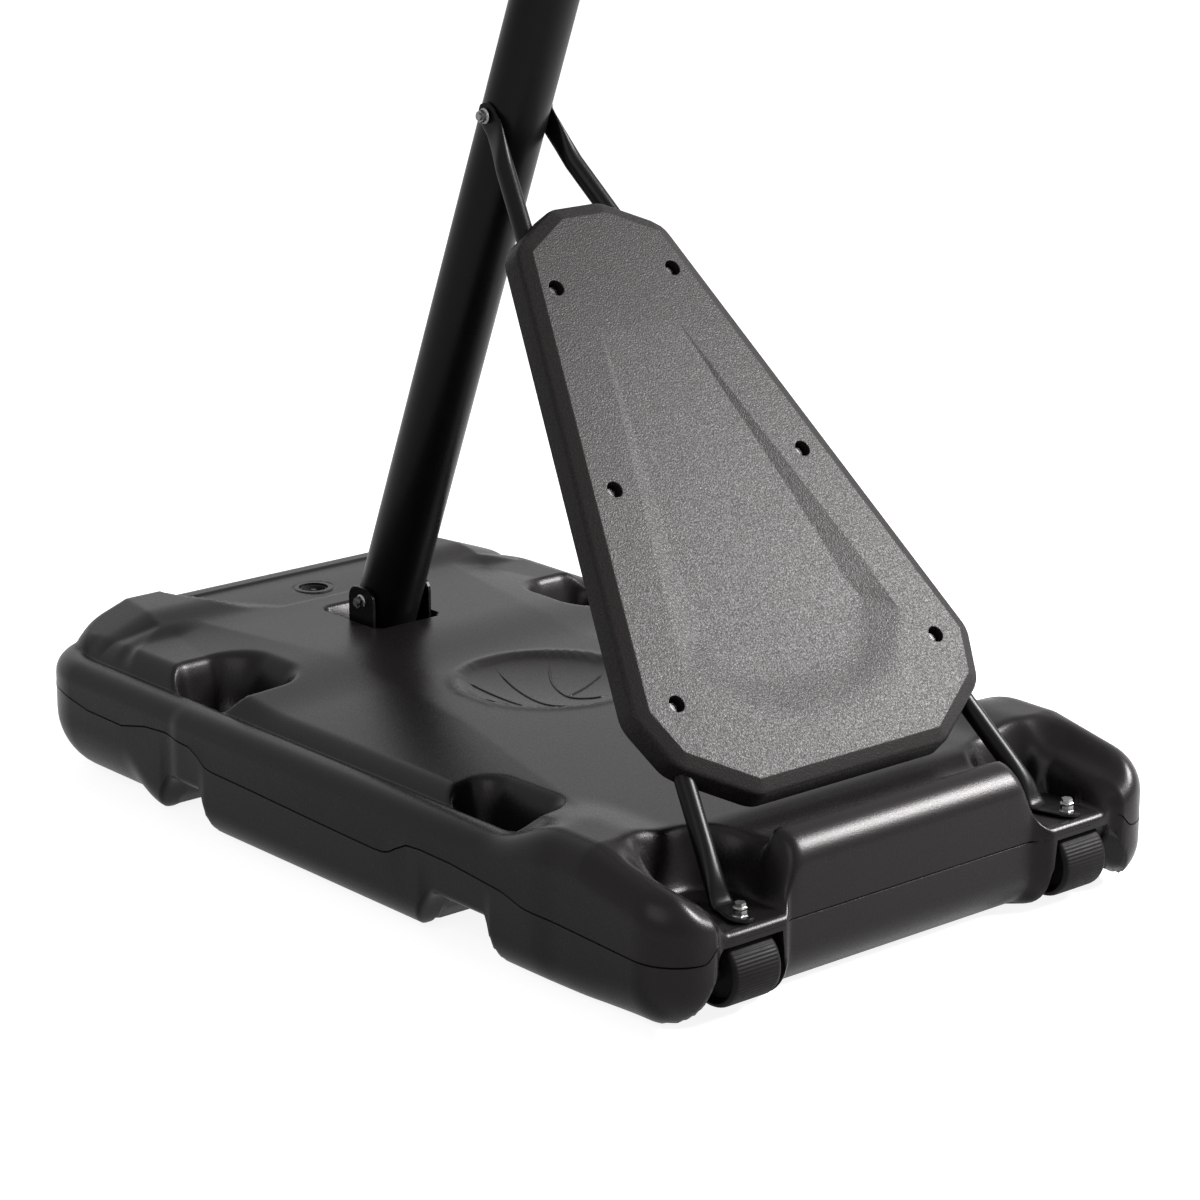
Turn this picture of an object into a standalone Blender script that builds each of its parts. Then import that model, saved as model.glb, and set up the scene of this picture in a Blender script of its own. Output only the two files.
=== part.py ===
"""Freestanding basketball hoop: a fillable base tank on feet and two wheels, a leaning pole in three tubes,
two struts with a shield panel, and a height-adjustable backboard with a spring-back rim and net."""

import math

import bmesh
import bpy
from mathutils import Matrix, Vector

# Clearances between pieces, and how far a cutter reaches past the face that it opens (metres)
GAP = 0.0003
SLIDE_GAP = 0.0006
CUT_PAST = 0.050
HOLE_REACH = 0.080

# Base tank
TANK_HALF = 0.425
TANK_BACK = 0.700
TANK_FRONT = -0.646
TANK_CORNER_BACK = 0.120
TANK_CORNER_FRONT = 0.050
TANK_LOW_ROUND = 0.045
RAIL_TOP = 0.166
RAIL_ROUND = 0.026
DECK_HALF = 0.366
DECK_BACK = 0.690
DECK_TOP = 0.198
DECK_FRONT = -0.565
DECK_FRONT_TOP = 0.187
DECK_SLOPE_BACK = 0.340
DECK_SLOPE_FRONT = 0.150
DECK_ROUND = 0.022
DECK_CORNER = 0.070
NOSE_INNER = 0.250
NOSE_FRONT = -0.676
NOSE_BACK = -0.350
NOSE_TOP = 0.200
NOSE_FALL_BACK = -0.505
NOSE_FALL_FRONT = -0.640
NOSE_FALL_TOP = 0.168
NOSE_TOE_TOP = 0.120
NOSE_ROUND = 0.042
NOSE_CORNER = 0.070
PAD_INNER = 0.190
PAD_OUTER = 0.316
PAD_FRONT = 0.560
PAD_BACK = 0.684
PAD_TOP = 0.210
PAD_ROUND = 0.012
LIP_HALF = 0.236
LIP_BACK = -0.540
LIP_TOP = 0.199
LIP_ROUND = 0.040
SEAM_LEVEL = 0.092
SEAM_HEIGHT = 0.006
SEAM_PROUD = 0.004

# Sloping side facets of the deck, from the crease outward
CREASE_WAIST_X = 0.167
CREASE_WAIST_Y = 0.180
CREASE_BACK_X = 0.226
CREASE_BACK_Y = 0.543
CREASE_FRONT_X = 0.298
CREASE_FRONT_Y = -0.367
FACET_FALL = 0.008

# Hollows in the tank
DISH_Y = 0.050
DISH_RADIUS = 0.120
DISH_DEPTH = 0.014
WELL_HALF = 0.057
WELL_FRONT = 0.353
WELL_BACK = 0.490
WELL_FLOOR = 0.152
TRAY_HALF_FRONT = 0.105
TRAY_HALF_BACK = 0.185
TRAY_FRONT = 0.530
TRAY_BACK = 0.655
TRAY_DEPTH = 0.006
BAY_FLOOR = 0.115
BAY_BACK = -0.505
BAY_INNER = 0.208
BAY_OUTER = 0.352
BAY_CORNER = 0.055
LEDGE_UNDER = 0.105
LEDGE_FRONT = -0.665
HANDHOLD_FLOOR = 0.112
HANDHOLD_ROUND = 0.024
HANDHOLD_OUTER = 0.371
REAR_HOLD_INNER = 0.236
REAR_HOLD_FRONT = 0.264
REAR_HOLD_BACK = 0.424
FRONT_HOLD_INNER = 0.292
FRONT_HOLD_FRONT = -0.350
FRONT_HOLD_BACK = -0.187
NOTCH_CEILING = 0.063
NOTCH_INNER = 0.200
NOTCH_ROUND = 0.026
NOTCH_STEEP = 0.030
NOTCH_GENTLE = 0.070
REAR_NOTCH_FRONT = 0.242
REAR_NOTCH_BACK = 0.400
FRONT_NOTCH_FRONT = -0.362
FRONT_NOTCH_BACK = -0.170

# Wheels in their bays
WHEEL_RADIUS = 0.045
WHEEL_INNER = 0.245
WHEEL_OUTER = 0.320
WHEEL_Y = -0.630
WHEEL_Z = 0.0565
WHEEL_EDGE = 0.004
HUB_RADIUS = 0.014
HUB_DISH_RADIUS = 0.036
HUB_DISH_DEPTH = 0.014
AXLE_RADIUS = 0.005
AXLE_IN_WALL = 0.022
WHEEL_BAY_INNER = 0.232
WHEEL_BAY_LOW = 0.372
WHEEL_BAY_HIGH = 0.330
WHEEL_BAY_KNEE = 0.362
WHEEL_BAY_KNEE_Z = 0.042
WHEEL_BAY_BACK = -0.560

# Filler
FILLER_Y = 0.583
FILLER_OUTER = 0.030
FILLER_INNER = 0.0215
FILLER_RING_HEIGHT = 0.006
FILLER_FLANGE = 0.004
FILLER_SLEEVE = 0.024
FILLER_HOLE_DEPTH = 0.060
CAP_HEIGHT = 0.016
CAP_LIP = 0.003

# Pole: a straight line that leans towards the board
LEAN = math.radians(21.65)
FOOT_Y = 0.400
FOOT_Z = 0.2267
POLE_RADIUS = 0.04445
POLE_WALL = 0.002
UPPER_RADIUS = 0.0381
SWAGE_DROP = 0.0023
LOWER_START = -0.055
LOWER_END = 1.120
SWAGE_START = 1.020
MIDDLE_END = 1.870
UPPER_START = 0.800
UPPER_END = 2.720
BUSHING_RADIUS = 0.048
BUSHING_SKIRT = 0.030
BUSHING_LINER = 0.050
BUSHING_TOP = 0.012
COLLAR_RADIUS = 0.047
COLLAR_HEIGHT = 0.032
POLE_CAP_HEIGHT = 0.022
POLE_CAP_PLUG = 0.030
KNOB_T = 1.800
BOSS_RADIUS = 0.015
BOSS_HEIGHT = 0.014
SCREW_RADIUS = 0.006
KNOB_RADIUS = 0.030
KNOB_HEIGHT = 0.024
KNOB_LOBES = 5

# Foot bracket
BRACKET_THICK = 0.004
BRACKET_GAP = 0.003
BRACKET_FRONT = 0.372
BRACKET_BACK = 0.428
BRACKET_TAIL = 0.478
BRACKET_TOP = 0.247
BRACKET_NOTCH = 0.022

# Fasteners
BOLT_RADIUS = 0.005
BOLT_HEAD = 0.0085
BOLT_HEAD_HEIGHT = 0.006
WASHER_HEIGHT = 0.0015
WASHER_EXTRA = 0.002
SCREW_SMALL = 0.0032
SCREW_SMALL_HEAD = 0.0068
SCREW_SMALL_HEIGHT = 0.0045

# Struts: axis line of each tube, from the pole down to the ledge above the wheel
STRUT_RADIUS = 0.0127
STRUT_TOP_X = 0.0376
STRUT_TOP_Y = 0.1223
STRUT_TOP_Z = 0.950
STRUT_FOOT_X = 0.2746
STRUT_FOOT_Y = -0.5976
STRUT_FOOT_Z = 0.120
STRUT_BOLT_Y = 0.1138
STRUT_BOLT_Z = 0.9478
STRUT_EAR_X = 0.0495
STRUT_PIN_X = 0.281
STRUT_PIN_Y = -0.638
FLAT_HALF = 0.018
FLAT_THICK = 0.005
FOOT_NUT_HEIGHT = 0.0075
FOOT_NECK = 0.003

# Shield panel across the struts
SHIELD_Y = -0.0866
SHIELD_Z = 0.7594
SHIELD_TILT = math.radians(49.53)
SHIELD_TOP_HALF = 0.028
SHIELD_TOP = 0.094
SHIELD_SHOULDER_HALF = 0.107
SHIELD_SHOULDER = 0.055
SHIELD_HIP_HALF = 0.265
SHIELD_HIP = -0.572
SHIELD_TOE_HALF = 0.243
SHIELD_TOE = -0.632
SHIELD_LOW_HALF = 0.153
SHIELD_LOW = -0.690
SHIELD_CORNER = 0.018
SHIELD_CHAMFER = 0.018
SHIELD_CHAMFER_DROP = 0.007
SHIELD_SIDE = 0.023
SHIELD_DEPTH = 0.036
SHIELD_WALL = 0.003
CUP_RADIUS = 0.011
CUP_WALL = 0.002
CUP_BOTTOM = 0.0148
SWORD_DEPTH = 0.0018

# Board, its frame and the arms that carry it
BOARD_HALF = 0.685
BOARD_FRONT = -1.100
BOARD_LOW = 2.140
BOARD_HIGH = 2.980
SHEET_THICK = 0.005
TUBE_SIDE = 0.030
TUBE_WALL = 0.0018
LOW_RAIL_Z = 2.300
HIGH_RAIL_Z = 2.760
CHANNEL_HALF = 0.050
CHANNEL_DEPTH = 0.055
CHANNEL_WALL = 0.004
CHANNEL_LOW = 2.215
CHANNEL_HIGH = 2.860
ARM_HOLE_BEHIND = 0.070
LOW_ARM_T = 2.200
LOW_ARM_Z = 2.345
HIGH_ARM_T = 2.600
HIGH_ARM_Z = 2.745
ARM_RADIUS = 0.0135

# Rim with its spring-back hinge
RIM_INNER_RADIUS = 0.2285
RIM_BAR = 0.008
RIM_STEPS = 40
RIM_REACH = 0.151
RIM_Z = 2.2875
RIM_PLATE_UNDER = 2.2755
RIM_PLATE_THICK = 0.007
RIM_PLATE_HALF = 0.0555
RIM_ARM_ANGLE = math.radians(36.0)
RIM_ARM_RADIUS = 0.006
RIM_ARM_X = 0.045
RIM_ARM_AHEAD = 0.068
CHEEK_REACH = 0.072
PEG_COUNT = 12
PEG_RADIUS = 0.0025
PEG_LENGTH = 0.016
HINGE_AHEAD = 0.022
HINGE_Z = 2.235
HINGE_PIN_RADIUS = 0.005
CHEEK_ROUND = 0.013
BACK_PLATE_HALF = 0.070
BACK_PLATE_LOW = 2.212
BACK_PLATE_HIGH = 2.360
BACK_PLATE_THICK = 0.005
EAR_THICK = 0.005
EAR_X = 0.050
EAR_AHEAD = 0.041
EAR_TOP = 2.250
SHELF_TOP = 2.2203
SHELF_AHEAD = 0.076
RIM_BOLT_X = 0.030
RIM_BOLT_RADIUS = 0.004
SPRING_AHEAD = 0.052
SPRING_RADIUS = 0.0135
SPRING_WIRE = 0.002
SPRING_TURNS = 5
NET_LOW_RADIUS = 0.135
NET_LENGTH = 0.420
NET_TOP_DROP = 0.0185
NET_ROWS = 5
NET_CORD = 0.005



def clear_scene():
    for item in list(bpy.data.objects):
        bpy.data.objects.remove(item, do_unlink=True)
    for group in list(bpy.data.collections):
        bpy.data.collections.remove(group)


clear_scene()
PARTS = bpy.data.collections.new("basketball_hoop")
CUTTERS = bpy.data.collections.new("cutters")
bpy.context.scene.collection.children.link(PARTS)
bpy.context.scene.collection.children.link(CUTTERS)


def finish(name, colour, roughness, metallic=0.0):
    made = bpy.data.materials.new(name)
    made.use_nodes = True
    shader = made.node_tree.nodes["Principled BSDF"]
    shader.inputs["Base Color"].default_value = (*colour, 1.0)
    shader.inputs["Roughness"].default_value = roughness
    shader.inputs["Metallic"].default_value = metallic
    made.diffuse_color = (*colour, 1.0)
    return made


MOULDED = finish("moulded_black", (0.035, 0.033, 0.034), 0.55)
PANEL = finish("grained_panel", (0.060, 0.056, 0.055), 0.60)
STEEL = finish("black_steel", (0.018, 0.018, 0.019), 0.35)
ZINC = finish("zinc_plate", (0.62, 0.62, 0.60), 0.30, 1.0)
TREAD = finish("wheel_plastic", (0.045, 0.038, 0.034), 0.70)
GRIP = finish("knob_plastic", (0.025, 0.025, 0.027), 0.45)
CLEAR = finish("clear_sheet", (0.62, 0.70, 0.74), 0.08)
ORANGE = finish("orange_paint", (0.72, 0.13, 0.02), 0.35)
SPRING_STEEL = finish("spring_steel", (0.35, 0.35, 0.36), 0.30, 1.0)
NYLON = finish("white_nylon", (0.80, 0.80, 0.78), 0.80)


def place(name, mesh, coat, parent=None, spot=(0, 0, 0), turn=(0, 0, 0), helper=False):
    item = bpy.data.objects.new(name, mesh)
    (CUTTERS if helper else PARTS).objects.link(item)
    if helper:
        item.hide_render = True
        item.display_type = "WIRE"
    else:
        mesh.materials.append(coat)
    item.parent = parent
    item.location = spot
    item.rotation_euler = turn
    return item


def mesh_from(name, shape):
    bmesh.ops.recalc_face_normals(shape, faces=shape.faces)
    mesh = bpy.data.meshes.new(name)
    shape.to_mesh(mesh)
    shape.free()
    return mesh


def rounded(corners, radii, steps):
    """Outline through the corners, each turned by its own radius."""
    points = []
    count = len(corners)
    for index in range(count):
        here = Vector(corners[index])
        back = (Vector(corners[index - 1]) - here).normalized()
        ahead = (Vector(corners[(index + 1) % count]) - here).normalized()
        half = back.angle(ahead) / 2
        radius = radii[index]
        middle = here + (back + ahead).normalized() * (radius / math.sin(half))
        first = here + back * (radius / math.tan(half)) - middle
        last = here + ahead * (radius / math.tan(half)) - middle
        sweep = first.angle_signed(last)
        for step in range(steps + 1):
            turned_by = Matrix.Rotation(-sweep * step / steps, 2)
            point = middle + turned_by @ first
            points.append((point.x, point.y))
    return points


def box_outline(x_low, x_high, y_low, y_high, radii, steps):
    """Rounded rectangle; radii go round from (x_low, y_low) against the clock."""
    corners = [(x_low, y_low), (x_high, y_low), (x_high, y_high), (x_low, y_high)]
    return rounded(corners, radii, steps)


def grown(corners, amount):
    """Polygon with every side moved outward by the amount."""
    moved = []
    count = len(corners)
    for index in range(count):
        here = Vector(corners[index])
        back = (here - Vector(corners[index - 1])).normalized()
        ahead = (Vector(corners[(index + 1) % count]) - here).normalized()
        normal_back = Vector((back.y, -back.x))
        normal_ahead = Vector((ahead.y, -ahead.x))
        bisector = (normal_back + normal_ahead).normalized()
        point = here + bisector * (amount / bisector.dot(normal_back))
        moved.append((point.x, point.y))
    return moved


def prism_shape(outline, low, high, round_top=0.0, round_low=0.0, steps=4):
    shape = bmesh.new()
    base = shape.faces.new([shape.verts.new((x, y, low)) for x, y in outline])
    risen = bmesh.ops.extrude_face_region(shape, geom=[base])
    upper = [part for part in risen["geom"] if isinstance(part, bmesh.types.BMVert)]
    bmesh.ops.translate(shape, verts=upper, vec=(0, 0, high - low))
    bmesh.ops.recalc_face_normals(shape, faces=shape.faces)
    for level, radius in ((high, round_top), (low, round_low)):
        if radius:
            rim = [edge for edge in shape.edges if all(abs(v.co.z - level) < 1e-7 for v in edge.verts)]
            bmesh.ops.bevel(shape, geom=rim, offset=radius, offset_type="OFFSET", segments=steps,
                            profile=0.5, affect="EDGES", clamp_overlap=False)
    return shape


def prism(name, outline, low, high, coat=None, round_top=0.0, round_low=0.0, steps=4, **where):
    shape = prism_shape(outline, low, high, round_top, round_low, steps)
    return place(name, mesh_from(name, shape), coat, **where)


def loft(name, rings, coat=None, closed=False, **where):
    """Skin over rings of equal point count, capped at both ends or closed into a loop."""
    shape = bmesh.new()
    rows = [[shape.verts.new(point) for point in ring] for ring in rings]
    pairs = list(zip(rows, rows[1:]))
    if closed:
        pairs.append((rows[-1], rows[0]))
    else:
        shape.faces.new(rows[0])
        shape.faces.new(rows[-1])
    for first, second in pairs:
        for index in range(len(first)):
            after = (index + 1) % len(first)
            shape.faces.new((first[index], first[after], second[after], second[index]))
    return place(name, mesh_from(name, shape), coat, **where)


def turned(name, profile, coat=None, steps=24, **where):
    """Solid of revolution about local Z from (radius, height) points, outer side listed top to bottom."""
    mesh = bpy.data.meshes.new(name)
    points = [(radius, 0.0, height) for radius, height in profile]
    edges = [(index, index + 1) for index in range(len(points) - 1)]
    if profile[0][0] > 0 and profile[-1][0] > 0:
        edges.append((len(points) - 1, 0))
    mesh.from_pydata(points, edges, [])
    item = place(name, mesh, coat, **where)
    screw = item.modifiers.new("turn", "SCREW")
    screw.axis = "Z"
    screw.steps = steps
    screw.render_steps = steps
    screw.use_merge_vertices = True
    screw.merge_threshold = 0.00005
    screw.use_normal_calculate = False
    screw.use_smooth_shade = False
    return item


def tube(name, outer, inner, low, high, coat, steps=24, **where):
    return turned(name, [(outer, high), (outer, low), (inner, low), (inner, high)], coat, steps, **where)


def rod(name, radius, low, high, coat=None, steps=16, **where):
    return turned(name, [(0, high), (radius, high), (radius, low), (0, low)], coat, steps, **where)


def join(target, other, operation):
    step = target.modifiers.new(other.name, "BOOLEAN")
    step.operation = operation
    step.solver = "EXACT"
    step.object = other


def cut(target, cutter):
    join(target, cutter, "DIFFERENCE")


def add(target, extra):
    join(target, extra, "UNION")


def helper_rod(name, radius, low, high, steps=10, **where):
    return rod(name, radius, low, high, None, steps, helper=True, **where)


def cross_hole(name, radius, centre):
    """Drill along X for a bolt or pin of this radius, through everything within reach of the centre."""
    return helper_rod(name, radius + GAP, -HOLE_REACH, HOLE_REACH, spot=centre, turn=ALONG_X)


ALONG_X = (0, math.radians(90), 0)
FACING_FRONT = (math.radians(90), 0, 0)
SECTION_YZ = (math.radians(90), 0, math.radians(90))


def sides():
    return (("left", -1), ("right", 1))


def hexagon(radius, height):
    """Twelve points round a hexagon: its corners and the middles of its sides."""
    flat = radius * math.cos(math.pi / 6)
    points = []
    for index in range(12):
        reach = radius if index % 2 == 0 else flat
        angle = index * math.pi / 6
        points.append((reach * math.cos(angle), reach * math.sin(angle), height))
    return points


def circle(radius, height, count=12):
    points = []
    for index in range(count):
        angle = index * 2 * math.pi / count
        points.append((radius * math.cos(angle), radius * math.sin(angle), height))
    return points


def bolt(name, length, radius=BOLT_RADIUS, head=BOLT_HEAD, head_height=BOLT_HEAD_HEIGHT, **where):
    """Hexagon head above local z = 0 with a flange, and a shank below it."""
    flange = head + WASHER_EXTRA
    rings = [
        hexagon(head, head_height),
        hexagon(head, WASHER_HEIGHT),
        circle(flange, 0),
        circle(radius, 0),
        circle(radius, -length),
    ]
    return loft(name, rings, ZINC, **where)


def nut(name, height, radius=BOLT_RADIUS, head=BOLT_HEAD, **where):
    """Flange nut standing on local z = 0."""
    flange = head + WASHER_EXTRA
    rings = [
        circle(flange, 0),
        hexagon(head, WASHER_HEIGHT),
        hexagon(head, height),
        circle(radius + GAP, height),
        circle(radius + GAP, 0),
    ]
    return loft(name, rings, ZINC, closed=True, **where)


def cross_bolt(bolt_name, nut_name, half, centre):
    """Bolt along X through pieces that reach half each way, its head at +X and its nut at -X."""
    x, y, z = centre
    nut_height = 0.007
    bolt(bolt_name, 2 * (half + GAP) + nut_height + 0.003, spot=(x + half + GAP, y, z), turn=ALONG_X)
    nut(nut_name, nut_height, spot=(x - half - GAP, y, z), turn=(0, -math.radians(90), 0))



def mirror_pair(name, outline, low, high, target, operation, **options):
    """The same cutter or boss on both sides of the tank."""
    for side, sign in sides():
        points = [(sign * x, y) for x, y in outline]
        made = prism(f"{name}_{side}", points, low, high, helper=True, **options)
        join(target, made, operation)


def build_tank():
    corners = (TANK_CORNER_FRONT, TANK_CORNER_FRONT, TANK_CORNER_BACK, TANK_CORNER_BACK)
    outer = box_outline(-TANK_HALF, TANK_HALF, TANK_FRONT, TANK_BACK, corners, 7)
    tank = prism("base_tank", outer, 0, RAIL_TOP, MOULDED, RAIL_ROUND, TANK_LOW_ROUND, 4)

    deck_corners = (0.03, 0.03, DECK_CORNER, DECK_CORNER)
    deck = box_outline(-DECK_HALF, DECK_HALF, DECK_FRONT, DECK_BACK, deck_corners, 5)
    low = RAIL_TOP - 0.03
    add(tank, prism("deck_block", deck, low, DECK_TOP, round_top=DECK_ROUND, steps=3, helper=True))
    slope = [
        (DECK_SLOPE_BACK, DECK_TOP),
        (DECK_SLOPE_BACK, DECK_TOP + CUT_PAST),
        (DECK_FRONT - CUT_PAST, DECK_TOP + CUT_PAST),
        (DECK_FRONT - CUT_PAST, DECK_FRONT_TOP),
        (DECK_SLOPE_FRONT, DECK_FRONT_TOP),
    ]
    half = TANK_HALF + CUT_PAST
    cut(tank, prism("deck_slope", slope, -half, half, helper=True, turn=SECTION_YZ))

    pad_corners = (0.020, 0.045, 0.050, 0.020)
    pad = box_outline(PAD_INNER, PAD_OUTER, PAD_FRONT, PAD_BACK, pad_corners, 3)
    mirror_pair("rear_pad", pad, RAIL_TOP, PAD_TOP, tank, "UNION", round_top=PAD_ROUND, steps=2)

    nose_corners = (0.050, NOSE_CORNER, NOSE_CORNER, 0.050)
    nose = box_outline(NOSE_INNER, TANK_HALF - 0.001, NOSE_FRONT, NOSE_BACK, nose_corners, 5)
    mirror_pair("nose", nose, 0.0005, NOSE_TOP, tank, "UNION",
                round_top=NOSE_ROUND, round_low=TANK_LOW_ROUND, steps=4)
    fall = rounded([
        (NOSE_FALL_BACK, NOSE_TOP),
        (NOSE_FALL_BACK, NOSE_TOP + CUT_PAST),
        (NOSE_FRONT - CUT_PAST, NOSE_TOP + CUT_PAST),
        (NOSE_FRONT - CUT_PAST, NOSE_TOE_TOP),
        (NOSE_FRONT, NOSE_TOE_TOP),
        (NOSE_FALL_FRONT, NOSE_FALL_TOP),
    ], (0.0001, 0.0001, 0.0001, 0.0001, 0.0001, 0.040), 4)
    cut(tank, prism("nose_fall", fall, -half, half, helper=True, turn=SECTION_YZ))

    lip = box_outline(-LIP_HALF, LIP_HALF, TANK_FRONT + 0.0004, LIP_BACK, (0.045, 0.045, 0.045, 0.045), 5)
    add(tank, prism("front_lip", lip, RAIL_TOP - 0.06, LIP_TOP, round_top=LIP_ROUND, steps=4, helper=True))

    ledge = box_outline(0.200, 0.350, LEDGE_FRONT, TANK_FRONT + 0.05, (0.006, 0.006, 0.006, 0.006), 2)
    mirror_pair("ledge", ledge, LEDGE_UNDER - 0.004, BAY_FLOOR + 0.004, tank, "UNION")

    seam_corners = tuple(radius + SEAM_PROUD for radius in corners)
    seam = box_outline(-TANK_HALF - SEAM_PROUD, TANK_HALF + SEAM_PROUD, TANK_FRONT - SEAM_PROUD,
                       TANK_BACK + SEAM_PROUD, seam_corners, 7)
    add(tank, prism("seam_flange", seam, SEAM_LEVEL, SEAM_LEVEL + SEAM_HEIGHT, helper=True))

    cut_facets(tank)
    cut_front_bays(tank)
    cut_hollows(tank)
    return tank


def cut_facets(tank):
    """Two planes a side fall outward from the creases; a thick wedge above each plane is removed."""
    waist = Vector((CREASE_WAIST_X, CREASE_WAIST_Y, DECK_TOP))
    ends = (
        ("back", Vector((CREASE_BACK_X, CREASE_BACK_Y, DECK_TOP))),
        ("front", Vector((CREASE_FRONT_X, CREASE_FRONT_Y, DECK_TOP))),
    )
    for label, end in ends:
        run = (end - waist).normalized()
        out = Vector((abs(run.y), -run.x * (1 if run.y > 0 else -1), 0)).normalized()
        reach = DECK_HALF - CREASE_WAIST_X
        fall = Vector((out.x, out.y, -FACET_FALL / reach))
        far = waist + run * 0.75
        low = [waist, far, far + fall * 0.30, waist + fall * 0.30]
        lift = Vector((0, 0, 0.05))
        for side, sign in sides():
            flip = Vector((sign, 1, 1))
            rings = [[point * flip for point in low], [(point + lift) * flip for point in low]]
            made = loft(f"facet_{label}_{side}", rings, helper=True)
            cut(tank, made)


def cut_front_bays(tank):
    bay_corners = (0.010, 0.010, BAY_CORNER, BAY_CORNER)
    bay = box_outline(BAY_INNER, BAY_OUTER, NOSE_FRONT - CUT_PAST, BAY_BACK, bay_corners, 5)
    mirror_pair("bay", bay, BAY_FLOOR, DECK_TOP + CUT_PAST, tank, "DIFFERENCE", round_low=0.020, steps=3)
    section = [
        (WHEEL_BAY_INNER, -0.02),
        (WHEEL_BAY_LOW, -0.02),
        (WHEEL_BAY_KNEE, WHEEL_BAY_KNEE_Z),
        (WHEEL_BAY_HIGH, LEDGE_UNDER),
        (WHEEL_BAY_INNER, LEDGE_UNDER),
    ]
    depth = WHEEL_BAY_BACK - NOSE_FRONT + CUT_PAST
    for side, sign in sides():
        points = [(sign * x, z) for x, z in section]
        made = prism(f"wheel_bay_{side}", points, -WHEEL_BAY_BACK, -WHEEL_BAY_BACK + depth, helper=True,
                     turn=FACING_FRONT)
        cut(tank, made)
        reach = axle_half() + GAP
        hole = helper_rod(f"axle_hole_{side}", AXLE_RADIUS + GAP, -reach, reach,
                          spot=(sign * axle_middle(), WHEEL_Y, WHEEL_Z), turn=ALONG_X)
        cut(tank, hole)
        pin = helper_rod(f"ledge_hole_{side}", BOLT_RADIUS + GAP, LEDGE_UNDER - 0.01, BAY_FLOOR + 0.01,
                         spot=(sign * STRUT_PIN_X, STRUT_PIN_Y, 0))
        cut(tank, pin)


def axle_middle():
    return (WHEEL_BAY_INNER + WHEEL_BAY_KNEE) / 2 - 0.003


def axle_half():
    return (WHEEL_BAY_KNEE - WHEEL_BAY_INNER) / 2 + AXLE_IN_WALL - 0.004


def cut_hollows(tank):
    rear = box_outline(REAR_HOLD_INNER, HANDHOLD_OUTER, REAR_HOLD_FRONT, REAR_HOLD_BACK,
                       (0.05, 0.03, 0.04, 0.06), 5)
    mirror_pair("rear_handhold", rear, HANDHOLD_FLOOR, DECK_TOP + CUT_PAST, tank, "DIFFERENCE",
                round_low=HANDHOLD_ROUND, steps=3)
    front = box_outline(FRONT_HOLD_INNER, HANDHOLD_OUTER, FRONT_HOLD_FRONT, FRONT_HOLD_BACK,
                        (0.035, 0.03, 0.03, 0.038), 5)
    mirror_pair("front_handhold", front, HANDHOLD_FLOOR, DECK_TOP + CUT_PAST, tank, "DIFFERENCE",
                round_low=HANDHOLD_ROUND, steps=3)

    notches = (("rear", REAR_NOTCH_FRONT, REAR_NOTCH_BACK), ("front", FRONT_NOTCH_FRONT, FRONT_NOTCH_BACK))
    for label, y_low, y_high in notches:
        arch = rounded([
            (y_low, -CUT_PAST),
            (y_high, -CUT_PAST),
            (y_high, 0),
            (y_high - NOTCH_GENTLE, NOTCH_CEILING),
            (y_low + NOTCH_STEEP, NOTCH_CEILING),
            (y_low, 0),
        ], (0.001, 0.001, 0.001, NOTCH_ROUND, NOTCH_ROUND, 0.001), 4)
        reach = TANK_HALF + CUT_PAST
        cut(tank, prism(f"{label}_notch_left", arch, -reach, -NOTCH_INNER, helper=True, turn=SECTION_YZ))
        cut(tank, prism(f"{label}_notch_right", arch, NOTCH_INNER, reach, helper=True, turn=SECTION_YZ))

    ball_radius = (DISH_RADIUS**2 + DISH_DEPTH**2) / (2 * DISH_DEPTH)
    bowl = [(0, DISH_DEPTH + 0.03), (DISH_RADIUS, DISH_DEPTH + 0.03), (DISH_RADIUS, DISH_DEPTH)]
    for step in range(1, 5):
        radius = DISH_RADIUS * (1 - step / 4)
        bowl.append((radius, ball_radius - math.sqrt(ball_radius**2 - radius**2)))
    dish = turned("ball_dish", bowl, None, 32, spot=(0, DISH_Y, DECK_FRONT_TOP - DISH_DEPTH), helper=True)
    cut(tank, dish)

    well = box_outline(-WELL_HALF, WELL_HALF, WELL_FRONT, WELL_BACK, (0.02, 0.02, 0.03, 0.03), 4)
    cut(tank, prism("pole_well", well, WELL_FLOOR, DECK_TOP + CUT_PAST, helper=True))
    tray = rounded([
        (-TRAY_HALF_FRONT, TRAY_FRONT),
        (TRAY_HALF_FRONT, TRAY_FRONT),
        (TRAY_HALF_BACK, TRAY_BACK),
        (-TRAY_HALF_BACK, TRAY_BACK),
    ], (0.03, 0.03, 0.02, 0.02), 4)
    cut(tank, prism("filler_tray", tray, DECK_TOP - TRAY_DEPTH, DECK_TOP + CUT_PAST, helper=True))
    tray_level = DECK_TOP - TRAY_DEPTH
    cut(tank, helper_rod("filler_hole", FILLER_INNER + FILLER_FLANGE + GAP, tray_level - FILLER_HOLE_DEPTH,
                         tray_level + CUT_PAST, 24, spot=(0, FILLER_Y, 0)))


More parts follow.
